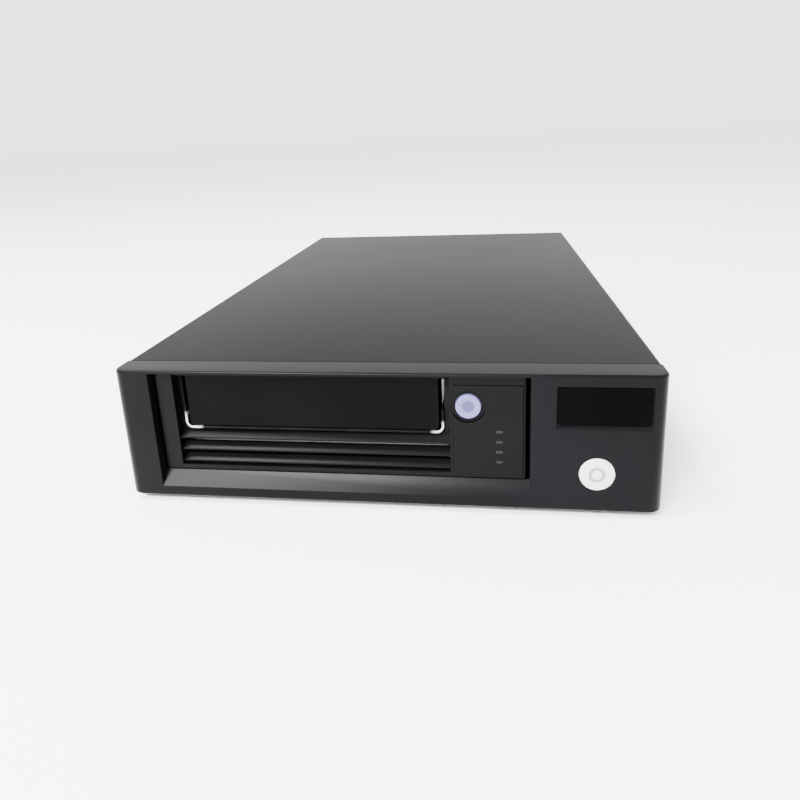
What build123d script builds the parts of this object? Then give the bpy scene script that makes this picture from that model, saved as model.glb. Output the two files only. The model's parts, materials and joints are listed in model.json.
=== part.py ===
from build123d import *
import os
from math import atan2, cos, degrees, pi, radians, sin, sqrt

# A desktop data tape drive. A half-height tape mechanism slides into the left of a free-standing
# steel case, which also holds its power supply, fan, data sockets and power button.
# +X is to the right seen from the front, +Y goes to the rear and +Z is up. The origin is the middle
# of the footprint, on the surface that the rubber feet stand on. All sizes are in millimetres.

# Cartridge that the drive takes
cartridge_width = 102.0
cartridge_length = 105.4
cartridge_thickness = 21.5

# Tape mechanism, from the underside up
under_deck = 6.5            # room for the controller board under the deck
deck_thickness = 2.5
lane_rise = 8.7             # deck to the floor that the cartridge enters on
door_room = 1.5             # space above the cartridge for the open door
lid_thickness = 0.6
mech_width = 146.0
mech_wall = 2.2
lane_bay = 120.6            # chassis front to the start of the take-up reel's bay
reel_diameter = 78.0
reel_gap = 2.1

# Case
sheet = 1.0                 # steel of the cover and the base
sheet_fit = 0.3             # between the cover and the base inside it
cover_corner = 2.0
foot_height = 3.0
foot_diameter = 15.0
foot_inset_x = 17.0
foot_inset_y = 26.0
rail_height = 10.3          # base floor to the underside of the mechanism
headroom = 1.4              # mechanism to the cover
base_flange = 13.0          # side flanges of the base
base_lip = 7.0              # lips folded in at the top of its front and rear walls
rear_bay = 109.5            # mechanism to the outside of the rear wall
rear_proud = 2.7            # how far the fan guard and its screws stand out of the rear wall

# Front bezel of the case
bezel_depth = 12.0
bezel_wall = 2.2
bezel_corner = 5.0
bezel_edge = 0.9
bezel_seam = 0.35           # shadow gap to the cover
left_pillar = 15.0
control_panel = 48.8        # width right of the mechanism
sill_front = 4.3            # upright lip under the sloping sill
sill_run = 4.6
mech_recess = 3.2           # mechanism face behind the bezel face
mech_gap_x = 1.3
mech_gap_z = 0.6
plate_width = 34.0
plate_height = 16.8
plate_shift = 1.8           # badge recess right of the panel's middle
plate_drop = 4.6            # badge recess below the top of the case
plate_depth = 1.0
badge_thickness = 0.5

# Face of the mechanism
face_width = 146.6
face_height = 42.4
face_depth = 11.0
face_wall = 1.8
slot_margin = 7.1           # left edge of the face to the slot recess
slot_width = 110.7
slot_recess = 4.2
slot_lip = 2.2              # face under the louvres
slot_head = 0.9             # face above the door
louvre_count = 3
louvre_pitch = 5.2
louvre_run = 3.2
louvre_rise = 1.7
louvre_thickness = 1.3
pad_height = 37.0
pad_margin = 1.1            # pad to the right edge of the face
pad_slot_gap = 1.2          # pad to the slot recess
pad_proud = 0.5

# Door and entry guide
door_clearance = 0.5
door_thickness = 1.1
door_setback = 2.9          # door behind the face
door_pin_radius = 0.8
pivot_clearance = 0.08
guide_wall = 0.9
guide_side = 8.8
guide_corner = 3.0
guide_clearance = 1.1       # guide side to the door

# Buttons and lights
eject_diameter = 9.6
eject_height = 30.1         # above the underside of the face
eject_from_pad = 5.9        # from the left edge of the pad
button_gap = 0.25
eject_travel = 1.0
power_diameter = 13.0
power_height = 15.6         # above the underside of the bezel
power_proud = 0.6
power_travel = 1.6
button_flange = 1.2
light_count = 4
light_pitch = 4.2
light_width = 2.6
light_height = 1.2

# Cartridge tray and its cam slider
tray_clearance = 0.6        # cartridge side to the tray
tray_wall = 0.9
tray_length = 98.0
tray_side = 21.9
tray_drop = 6.5
tray_pin_radius = 1.4
tray_pin_height = 10.9      # above the tray floor
pin_front = 27.0            # front pins behind the chassis front
pin_pitch = 61.0
cam_travel = 20.0
cam_gap = 0.8
cam_plate = 1.2
cam_height = 18.5
cam_slot_play = 0.15
running_gap = 0.9

# Loader gears
rack_module = 0.8
rack_height = 3.2
pinion_teeth = 15
wheel_module = 0.5
wheel_teeth = 32
motor_pinion_teeth = 12
gear_face = 2.6
axle_radius = 1.0
axle_play = 0.06

# Reels, rollers and head
motor_radius = 20.5
motor_cup = 1.4
motor_height = 5.0
stator_radius = 16.0
stator_teeth = 9
bearing_radius = 3.0
bearing_play = 0.08
clutch_teeth = 20
clutch_outer = 14.0
clutch_inner = 9.5
clutch_rise = 1.4
hub_radius = 21.0
tape_width = 12.65
reel_flange = 1.4
roller_radius = 4.2
roller_flange_radius = 5.3
roller_flange = 1.2
roller_axle = 1.5
head_width = 15.0
head_depth = 8.6
head_height = 14.0
head_travel = 5.0
rod_radius = 1.2
screw_radius = 1.5

# Fan and rear wall
fan_size = 40.0
fan_thickness = 20.0
fan_bore = 37.6
fan_hub = 11.0
fan_blades = 7
fan_hole_pitch = 32.0
fan_hole_radius = 1.9
guard_wire = 1.0
guard_rings = (6.5, 11.0, 15.5)
inlet_width = 27.0
inlet_height = 19.8
inlet_flange = 2.4
blade_recess = 5.2
port_width = 16.0
port_height = 8.4
port_pitch = 24.0

# Power supply
psu_width = 41.0
psu_length = 150.0
psu_height = 33.6
board_thickness = 1.6
standoff_height = 4.0
standoff_radius = 2.6

# Screws
screw_head_radius = 2.75
screw_head_height = 1.6
screw_shank_radius = 1.45
screw_length = 5.0
screw_fit = 0.06
lid_screw_radius = 0.95
lid_screw_inset = 5.5
side_hole_pitch = 79.25

# Places that follow from the sizes
mech_height = (under_deck + deck_thickness + lane_rise + cartridge_thickness
               + door_room + lid_thickness)
mech_length = lane_bay + reel_diameter + 2 * reel_gap + mech_wall
opening_width = face_width + 2 * mech_gap_x
case_width = left_pillar + opening_width + control_panel
case_bottom = foot_height
floor_top = case_bottom + sheet
case_height = floor_top + rail_height + mech_height + headroom + sheet
case_depth = power_proud + mech_recess + face_depth + mech_length + rear_bay + rear_proud
front_y = -case_depth / 2 + power_proud
rear_y = case_depth / 2 - rear_proud
bezel_back = front_y + bezel_depth
inner_width = case_width - 2 * (sheet + sheet_fit)
base_top = case_height - sheet - sheet_fit

opening_x0 = -case_width / 2 + left_pillar
opening_x1 = opening_x0 + opening_width
mech_x = (opening_x0 + opening_x1) / 2
mech_x0 = mech_x - mech_width / 2
mech_x1 = mech_x + mech_width / 2
mech_z0 = floor_top + rail_height
mech_z1 = mech_z0 + mech_height
face_y = front_y + mech_recess
mech_y0 = face_y + face_depth
mech_y1 = mech_y0 + mech_length
face_x0 = mech_x - face_width / 2
face_x1 = mech_x + face_width / 2
face_z0 = (mech_z0 + mech_z1 - face_height) / 2
face_z1 = face_z0 + face_height
opening_z0 = face_z0 - mech_gap_z
opening_z1 = face_z1 + mech_gap_z
panel_x = (opening_x1 + case_width / 2) / 2
power_z = case_bottom + power_height

deck_top = mech_z0 + under_deck + deck_thickness
lane_floor = deck_top + lane_rise
lid_under = mech_z1 - lid_thickness
slot_x0 = face_x0 + slot_margin
slot_x1 = slot_x0 + slot_width
lane_x = (slot_x0 + slot_x1) / 2
slot_z0 = face_z0 + slot_lip
slot_z1 = face_z1 - slot_head
door_half = cartridge_width / 2
guide_inner = door_half + guide_clearance
guide_outer = guide_inner + guide_wall
hinge_y = face_y + door_setback + door_thickness / 2
hinge_z = lid_under - door_room / 2
pad_x0 = slot_x1 + pad_slot_gap
pad_x1 = face_x1 - pad_margin
pad_z0 = face_z0 + slot_lip - 0.4
pad_z1 = pad_z0 + pad_height
eject_x = pad_x0 + eject_from_pad
eject_z = face_z0 + eject_height

tray_half = cartridge_width / 2 + tray_clearance
tray_outer = tray_half + tray_wall
tray_y0 = mech_y0 + mech_wall + running_gap
tray_y1 = tray_y0 + tray_length
tray_z0 = lane_floor - tray_wall
pin_z = lane_floor + tray_pin_height
pin_ys = (mech_y0 + pin_front, mech_y0 + pin_front + pin_pitch)
cam_inner = tray_outer + cam_gap
cam_outer = cam_inner + cam_plate
cam_z0 = deck_top + 3.6
cam_z1 = cam_z0 + cam_height
cam_y0 = mech_y0 + mech_wall + running_gap
cam_y1 = tray_y1 + 3.6
cam_bar_z0 = deck_top + 0.5
post_gap = 0.85
pin_reach = cam_outer + post_gap + 2.0

rack_z0 = cam_z0 + 2.4
pinion_pitch = rack_module * pinion_teeth / 2
wheel_pitch = wheel_module * wheel_teeth / 2
motor_pinion_pitch = wheel_module * motor_pinion_teeth / 2
rack_x = lane_x + cam_outer + 3.0
pinion_x = rack_x + pinion_pitch
pinion_y = mech_y0 + pin_front + 29.5
wheel_z0 = rack_z0 + rack_height + 0.7
loader_angle = 30.0
gear_distance = wheel_pitch + motor_pinion_pitch
loader_x = pinion_x + gear_distance * cos(radians(loader_angle))
loader_y = pinion_y + gear_distance * sin(radians(loader_angle))
bracket_z0 = wheel_z0 + gear_face + 1.2

supply_y = tray_y0 + tray_length / 2 + 1.5
reel_x = mech_x1 - mech_wall - 2 * reel_gap - reel_diameter / 2
reel_y = mech_y0 + lane_bay + reel_gap + reel_diameter / 2
tape_z = lane_floor - tray_drop + cartridge_thickness / 2
path_x = mech_x0 + mech_wall + 14.2
roller_places = (
    (path_x - roller_radius + 4.0, reel_y - 34.0),
    (path_x - roller_radius, reel_y - 18.0),
    (path_x - roller_radius, reel_y + 18.0),
    (path_x - roller_radius + 4.0, reel_y + 34.0),
)
head_x1 = path_x - 0.3
head_x0 = head_x1 - head_depth
head_axis_x = head_x0 + 3.2
head_z0 = tape_z - head_height / 2 - head_travel / 2
bridge_z0 = head_z0 + head_height + head_travel + 0.7
rail_x = path_x + 15.0

fan_x = -case_width / 2 + 46.0
fan_z = (floor_top + base_top) / 2
inlet_x = panel_x + 1.0
inlet_z = fan_z + 4.0
port_x = mech_x + 10.0
port_z = floor_top + 18.0
psu_x = (mech_x1 + inner_width / 2) / 2 + 0.5
psu_y1 = rear_y - 26.0
psu_y0 = psu_y1 - psu_length
psu_board_z = floor_top + standoff_height


def level(z):
    """A sketch plane lying flat at height z."""
    return Plane.XY.offset(z)


def facing(y):
    """An upright sketch plane at depth y: its x is +X, its y is +Z, and it extrudes forward."""
    return Plane.XZ.offset(-y)


def sideways(x):
    """An upright sketch plane at x: its x is +Y, its y is +Z, and it extrudes to the right."""
    return Plane.YZ.offset(x)


def block(x0, x1, y0, y1, z0, z1, mode=Mode.ADD):
    """Adds or cuts a block given by its limits."""
    with Locations(((x0 + x1) / 2, (y0 + y1) / 2, (z0 + z1) / 2)):
        Box(x1 - x0, y1 - y0, z1 - z0, mode=mode)


def post(x, y, z0, z1, radius, mode=Mode.ADD):
    """Adds or cuts an upright round post."""
    with Locations((x, y, (z0 + z1) / 2)):
        Cylinder(radius, z1 - z0, mode=mode)


def rod_along_y(x, z, y0, y1, radius, mode=Mode.ADD):
    """Adds or cuts a round rod that runs from front to rear."""
    with Locations(Location((x, (y0 + y1) / 2, z), (90, 0, 0))):
        Cylinder(radius, y1 - y0, mode=mode)


def rod_along_x(y, z, x0, x1, radius, mode=Mode.ADD):
    """Adds or cuts a round rod that runs from left to right."""
    with Locations(Location(((x0 + x1) / 2, y, z), (0, 90, 0))):
        Cylinder(radius, x1 - x0, mode=mode)


def rounded_plan(width, y0, y1, front_radius):
    """A plan outline whose two front corners are round."""
    with Locations((0, (y0 + y1) / 2)):
        plan = Rectangle(width, y1 - y0)
    fillet(plan.vertices().group_by(Axis.Y)[0], front_radius)


def gear_outline(module, teeth, backlash=0.12, addendum=0.85, dedendum=1.2):
    """The closed outline of a spur gear: each flank is the involute of the base circle."""
    pitch = module * teeth / 2
    base = pitch * cos(radians(20))
    tip = pitch + addendum * module
    root = pitch - dedendum * module
    def roll(radius):
        angle = sqrt(max((radius / base) ** 2 - 1, 0))
        return angle - atan2(angle, 1)
    half = pi / (2 * teeth) - backlash / (2 * pitch) + roll(pitch)
    start = max(base, root)
    radii = [start + (tip - start) * step / 3 for step in range(4)]
    flank = [(root, half)] * (root < base) + [(radius, half - roll(radius)) for radius in radii]
    points = []
    for tooth in range(teeth):
        middle = 2 * pi * tooth / teeth
        points += [(r * cos(middle - a), r * sin(middle - a)) for r, a in flank]
        points += [(r * cos(middle + a), r * sin(middle + a)) for r, a in reversed(flank)]
    return points


def machine_screw(place, head=screw_head_height, shank=screw_length):
    """A pan-head screw at a place whose z axis points out of its head, with a cross slot."""
    with Locations(place):
        Cylinder(screw_head_radius, head, align=(Align.CENTER, Align.CENTER, Align.MIN))
        Cylinder(screw_shank_radius, shank, align=(Align.CENTER, Align.CENTER, Align.MAX))
    with Locations(place * Location((0, 0, head))):
        Box(2.8, 0.6, 1.2, mode=Mode.SUBTRACT)
        Box(0.6, 2.8, 1.2, mode=Mode.SUBTRACT)


def keep(piece, name):
    """Labels a finished piece and writes its STEP file."""
    piece.part.label = name
    export_step(piece.part, f"parts/{name}.step")


os.makedirs("parts", exist_ok=True)

# Top cover: one sheet folded down over both sides
side_screw_z = case_bottom + base_flange / 2 + 0.5
side_screw_ys = (front_y + 60.0, rear_y - 50.0)
flush_head_radius = 3.0
flush_head_height = 0.8
side_screw_length = 2 * sheet + sheet_fit + 0.5
with BuildPart() as top_cover:
    with BuildSketch(facing(rear_y)):
        with Locations((0, (case_bottom + case_height) / 2)):
            outer = Rectangle(case_width, case_height - case_bottom)
        fillet(outer.vertices().group_by(Axis.Y)[-1], cover_corner)
    extrude(amount=rear_y - bezel_back - bezel_seam)
    with BuildSketch(facing(rear_y)):
        with Locations((0, (case_bottom + case_height - sheet) / 2)):
            inner = Rectangle(case_width - 2 * sheet, case_height - sheet - case_bottom)
        fillet(inner.vertices().group_by(Axis.Y)[-1], cover_corner - sheet)
    extrude(amount=rear_y - bezel_back - bezel_seam, mode=Mode.SUBTRACT)
    for side in (-1, 1):
        with BuildSketch(sideways(side * case_width / 2)):
            with Locations(*[(y, side_screw_z) for y in side_screw_ys]):
                Circle(flush_head_radius + 0.1)
        extrude(amount=-side * flush_head_height, mode=Mode.SUBTRACT)
        with BuildSketch(sideways(side * case_width / 2)):
            with Locations(*[(y, side_screw_z) for y in side_screw_ys]):
                Circle(screw_shank_radius + 0.15)
        extrude(amount=-side * sheet, mode=Mode.SUBTRACT)
keep(top_cover, "top_cover")

boss_radius = 3.0
boss_places = [
    (x, z)
    for x in (-case_width / 2 + left_pillar / 2, panel_x - 17.5, panel_x + 18.0)
    for z in (case_bottom + 8.0, case_height - 12.0)
]

# Base chassis: floor, side flanges, and full-height front and rear walls with folded lips
port_xs = (port_x - port_pitch / 2, port_x + port_pitch / 2)
vent_pitch = 4.6
vent_slot = (2.2, 13.0)
vent_x = mech_x + 25.0
vent_count = 12
foot_places = [
    (side * (case_width / 2 - foot_inset_x), y)
    for side in (-1, 1)
    for y in (front_y + foot_inset_y, rear_y - foot_inset_y)
]
fan_holes = [
    (fan_x + dx * fan_hole_pitch / 2, fan_z + dz * fan_hole_pitch / 2)
    for dx in (-1, 1)
    for dz in (-1, 1)
]
with BuildPart() as base_chassis:
    block(-inner_width / 2, inner_width / 2, bezel_back, rear_y, case_bottom, base_top)
    block(-inner_width / 2 + sheet, inner_width / 2 - sheet, bezel_back + sheet, rear_y - sheet,
          floor_top, base_top, Mode.SUBTRACT)
    block(-inner_width / 2, inner_width / 2, bezel_back + sheet, rear_y - sheet,
          case_bottom + base_flange, base_top, Mode.SUBTRACT)
    for lip_y in (bezel_back + sheet, rear_y - sheet - base_lip):
        block(-inner_width / 2 + 2 * sheet, inner_width / 2 - 2 * sheet, lip_y, lip_y + base_lip,
              base_top - sheet, base_top)
    # the front wall is open for the mechanism and for the power switch
    block(opening_x0 - 0.4, opening_x1 + 0.4, bezel_back, bezel_back + sheet + base_lip,
          face_z0 - mech_gap_z, base_top, Mode.SUBTRACT)
    block(panel_x - 15, panel_x + 15, bezel_back, bezel_back + sheet, power_z - 10, power_z + 12,
          Mode.SUBTRACT)
    # the rear wall has the fan bore, the inlet, the two data sockets and a row of vents
    with BuildSketch(facing(rear_y)):
        with Locations((fan_x, fan_z)):
            Circle(fan_bore / 2 - 0.6)
        with Locations(*fan_holes):
            Circle(fan_hole_radius + 0.2)
        with Locations((inlet_x, inlet_z)):
            Rectangle(inlet_width + 0.6, inlet_height + 0.6)
        with Locations(*[(x, port_z) for x in port_xs]):
            Rectangle(port_width + 0.6, port_height + 0.6)
        with Locations((vent_x, base_top - 5.0 - vent_slot[1] / 2)):
            with GridLocations(vent_pitch, 1, vent_count, 1):
                SlotOverall(vent_slot[1], vent_slot[0], rotation=90)
    extrude(amount=sheet, mode=Mode.SUBTRACT)
    with BuildSketch(sideways(-case_width / 2)):
        with Locations(*[(y, side_screw_z) for y in side_screw_ys]):
            Circle(screw_shank_radius + 0.1)
    extrude(amount=case_width, mode=Mode.SUBTRACT)
    for x, z in boss_places:
        rod_along_y(x, z, bezel_back, bezel_back + sheet, screw_shank_radius + 0.1, Mode.SUBTRACT)
keep(base_chassis, "base_chassis")

# Four rubber feet, each with a moulded rim and a dished face
with BuildPart() as rubber_feet:
    with Locations(*[(x, y, 0) for x, y in foot_places]):
        Cone(foot_diameter / 2 - 0.8, foot_diameter / 2, foot_height,
             align=(Align.CENTER, Align.CENTER, Align.MIN))
    with Locations(*[(x, y, 0) for x, y in foot_places]):
        Cylinder(foot_diameter / 2 - 3.2, 0.8, align=(Align.CENTER, Align.CENTER, Align.MIN),
                 mode=Mode.SUBTRACT)
keep(rubber_feet, "rubber_feet")

# Flush screws that hold the cover to the base flanges
with BuildPart() as cover_screws:
    for side in (-1, 1):
        for y in side_screw_ys:
            head = Location((side * case_width / 2, y, side_screw_z), (0, side * 90, 0))
            with Locations(head):
                Cylinder(flush_head_radius, flush_head_height,
                         align=(Align.CENTER, Align.CENTER, Align.MAX))
                Cylinder(screw_shank_radius, side_screw_length,
                         align=(Align.CENTER, Align.CENTER, Align.MAX))
            with Locations(head):
                Box(3.2, 0.6, 0.8, mode=Mode.SUBTRACT)
                Box(0.6, 3.2, 0.8, mode=Mode.SUBTRACT)
keep(cover_screws, "cover_screws")

# Front bezel: pillar, control panel and sloping sill round the mechanism's opening
plate_x = panel_x + plate_shift
plate_z1 = case_height - plate_drop
plate_z0 = plate_z1 - plate_height
power_bore = power_diameter / 2 + button_gap
sleeve_step_y = front_y + 5.6
with BuildPart() as front_bezel:
    with BuildSketch(level(case_bottom)):
        rounded_plan(case_width, front_y, bezel_back, bezel_corner)
    extrude(amount=case_height - case_bottom)
    rims = front_bezel.faces().filter_by(Axis.Z).edges().filter_by(
        lambda edge: edge.center().Y < bezel_back - bezel_edge)
    fillet(rims, bezel_edge)
    # hollow behind the pillar, the panel and the sill
    for x0, x1 in ((-case_width / 2 + bezel_wall, opening_x0 - bezel_wall),
                   (opening_x1 + bezel_wall, case_width / 2 - bezel_wall)):
        block(x0, x1, front_y + 2 * bezel_wall, bezel_back, case_bottom + bezel_wall,
              case_height - bezel_wall, Mode.SUBTRACT)
    block(opening_x0, opening_x1, front_y + sill_run + bezel_wall, bezel_back,
          case_bottom + bezel_wall, opening_z0 - bezel_wall, Mode.SUBTRACT)
    block(opening_x0, opening_x1, front_y, bezel_back, opening_z0, opening_z1, Mode.SUBTRACT)
    with BuildSketch(sideways(opening_x0)):
        with BuildLine():
            Polyline((front_y, case_bottom + sill_front), (front_y + sill_run, opening_z0),
                     (front_y, opening_z0), close=True)
        make_face()
    extrude(amount=opening_width, mode=Mode.SUBTRACT)
    # recess that a badge would fill, with a sloping lower edge
    with BuildSketch(sideways(plate_x - plate_width / 2)):
        with BuildLine():
            Polyline((front_y, plate_z0), (front_y + plate_depth, plate_z0 + plate_depth),
                     (front_y + plate_depth, plate_z1), (front_y, plate_z1), close=True)
        make_face()
    extrude(amount=plate_width, mode=Mode.SUBTRACT)
    # bosses that take the screws from behind the base's front wall
    for x, z in boss_places:
        rod_along_y(x, z, front_y + bezel_wall, bezel_back, boss_radius)
        rod_along_y(x, z, bezel_back - 6.0, bezel_back, screw_shank_radius + screw_fit,
                    Mode.SUBTRACT)
    # guide sleeve of the power button
    rod_along_y(panel_x, power_z, front_y + bezel_wall, bezel_back - 2.5, power_bore + 1.4)
    rod_along_y(panel_x, power_z, front_y, bezel_back, power_bore, Mode.SUBTRACT)
    rod_along_y(panel_x, power_z, sleeve_step_y, bezel_back, power_bore + 0.9, Mode.SUBTRACT)
keep(front_bezel, "front_bezel")

# Screws that hold the bezel, driven from inside the base
with BuildPart() as bezel_screws:
    for x, z in boss_places:
        machine_screw(Location((x, bezel_back + sheet, z), (-90, 0, 0)))
keep(bezel_screws, "bezel_screws")

# Blank badge plate in the recess
with BuildPart() as badge_plate:
    with BuildSketch(facing(front_y + plate_depth)):
        with Locations((plate_x, (plate_z0 + plate_depth + plate_z1) / 2)):
            RectangleRounded(plate_width - 0.8, plate_height - plate_depth - 0.8, 1.0)
    extrude(amount=badge_thickness)
keep(badge_plate, "badge_plate")

# Power button with a ring groove, its switch and the switch board
flange_y = sleeve_step_y + 0.1
with BuildPart() as power_button:
    rod_along_y(panel_x, power_z, front_y - power_proud, flange_y, power_diameter / 2)
    fillet(power_button.edges().group_by(Axis.Y)[0], 0.5)
    rod_along_y(panel_x, power_z, flange_y, flange_y + button_flange, power_bore + 0.6)
    rod_along_y(panel_x, power_z, flange_y + button_flange, flange_y + button_flange + 2.2, 2.0)
    with BuildSketch(facing(front_y - power_proud)):
        with Locations((panel_x, power_z)):
            Circle(3.1)
            Circle(1.9, mode=Mode.SUBTRACT)
    extrude(amount=-0.3, mode=Mode.SUBTRACT)
keep(power_button, "power_button")
switch_front = flange_y + button_flange + 2.2 + power_travel + 0.2
switch_board_y = switch_front + 6.5
with BuildPart() as power_switch_board:
    block(panel_x - 14, panel_x + 14, switch_board_y, switch_board_y + board_thickness,
          floor_top, power_z + 10)
    block(panel_x + 6, panel_x + 12, switch_board_y - 4, switch_board_y, power_z + 2, power_z + 8)
    block(panel_x - 4, panel_x + 4, switch_front, switch_board_y, power_z - 4, power_z + 4)
keep(power_switch_board, "power_switch_board")

# Mechanism deck: a cast tray whose walls stand above and below the floor plate
side_hole_ys = (mech_y0 + 38.0, mech_y0 + 38.0 + side_hole_pitch)
lid_screw_places = [
    (mech_x + side * (mech_width / 2 - lid_screw_inset), y)
    for side in (-1, 1)
    for y in (mech_y0 + 8.0, mech_y0 + mech_length / 2 + 8.0, mech_y1 - 8.0)
]
board_z = mech_z0 + 2.2
post_length = 8.0
with BuildPart() as mech_deck:
    block(mech_x0, mech_x1, mech_y0, mech_y1, mech_z0, lid_under)
    block(mech_x0 + mech_wall, mech_x1 - mech_wall, mech_y0 + mech_wall, mech_y1 - mech_wall,
          deck_top, lid_under, Mode.SUBTRACT)
    block(mech_x0 + mech_wall, mech_x1 - mech_wall, mech_y0 + mech_wall, mech_y1 - mech_wall,
          mech_z0, mech_z0 + under_deck, Mode.SUBTRACT)
    fillet(mech_deck.edges().filter_by(Axis.Z).filter_by(
        lambda edge: edge.length > mech_height - 2), 1.0)
    # the front wall is open to the lane and the louvres, and to the button board
    block(lane_x - guide_outer - 0.2, lane_x + guide_outer + 0.2, mech_y0, mech_y0 + mech_wall,
          tray_z0, lid_under, Mode.SUBTRACT)
    block(lane_x - guide_outer + 6, lane_x + guide_outer - 6, mech_y0, mech_y0 + mech_wall,
          deck_top + 1, tray_z0 - 2, Mode.SUBTRACT)
    block(pad_x0 + 2, pad_x1 - 2, mech_y0, mech_y0 + mech_wall, deck_top + 4, lid_under - 4,
          Mode.SUBTRACT)
    # the rear wall is open to the sockets on the controller board
    block(mech_x - 45, mech_x + 45, mech_y1 - mech_wall, mech_y1, mech_z0, mech_z0 + under_deck,
          Mode.SUBTRACT)
    # slotted posts that keep the tray's pins upright while they drop
    for y in pin_ys:
        block(mech_x0 + mech_wall, lane_x - cam_outer - post_gap, y - post_length / 2,
              y + post_length / 2, deck_top, cam_z1)
        block(lane_x + cam_outer + post_gap, lane_x + cam_outer + post_gap + 3.6,
              y - post_length / 2, y + post_length / 2, deck_top, cam_z1)
        slot_play = tray_pin_radius + cam_slot_play
        block(lane_x - pin_reach - 0.4, lane_x + pin_reach + 0.4, y - slot_play, y + slot_play,
              pin_z - tray_drop - slot_play, cam_z1, Mode.SUBTRACT)
    # bosses that carry the lid's screws, and posts that carry the controller board
    for x, y in lid_screw_places:
        inward = 1 if x < mech_x else -1
        wall_x = x - inward * (lid_screw_inset - mech_wall)
        block(min(x + inward * 2.6, wall_x), max(x + inward * 2.6, wall_x), y - 3, y + 3,
              lid_under - 6.0, lid_under)
    with Locations(*[(x, y, lid_under) for x, y in lid_screw_places]):
        Cylinder(lid_screw_radius + screw_fit, 8.0, mode=Mode.SUBTRACT)
    for x in (mech_x0 + mech_wall + 5.0, mech_x1 - mech_wall - 5.0):
        for y in (mech_y0 + 12.0, mech_y1 - 12.0):
            post(x, y, board_z + 1.4, mech_z0 + under_deck, 2.4)
    # seats of the two reel motors
    post(lane_x, supply_y, deck_top - deck_thickness, deck_top, bearing_radius + 0.5, Mode.SUBTRACT)
    post(reel_x, reel_y, deck_top - deck_thickness, deck_top, bearing_radius + 0.5, Mode.SUBTRACT)
    with BuildSketch(sideways(mech_x0)):
        with Locations(*[(y, mech_z0 + 10.0) for y in side_hole_ys]):
            Circle(1.3)
    extrude(amount=mech_width, mode=Mode.SUBTRACT)
keep(mech_deck, "mech_deck")

# Lid of the mechanism, with two pressed stiffening ribs and a screw at each corner
with BuildPart() as mech_lid:
    with BuildSketch(level(lid_under)):
        with Locations((mech_x, (mech_y0 + mech_y1) / 2)):
            RectangleRounded(mech_width, mech_length, 1.0)
    extrude(amount=lid_thickness)
    with BuildSketch(level(mech_z1)):
        with Locations((lane_x, mech_y0 + 70.0)):
            SlotOverall(80.0, 10.0)
        with Locations((reel_x - 10, reel_y)):
            Circle(reel_diameter / 2 - 8)
            Circle(reel_diameter / 2 - 14, mode=Mode.SUBTRACT)
    extrude(amount=0.5)
    with Locations(*[(x, y, lid_under) for x, y in lid_screw_places]):
        Cylinder(lid_screw_radius + 0.2, 4.0, mode=Mode.SUBTRACT)
keep(mech_lid, "mech_lid")

with BuildPart() as lid_screws:
    for x, y in lid_screw_places:
        with Locations((x, y, mech_z1)):
            Cylinder(2.0, 0.7, align=(Align.CENTER, Align.CENTER, Align.MIN))
            Cylinder(lid_screw_radius, 3.6, align=(Align.CENTER, Align.CENTER, Align.MAX))
        with Locations((x, y, mech_z1 + 0.7)):
            Box(2.4, 0.5, 0.7, mode=Mode.SUBTRACT)
            Box(0.5, 2.4, 0.7, mode=Mode.SUBTRACT)
keep(lid_screws, "lid_screws")

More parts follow.
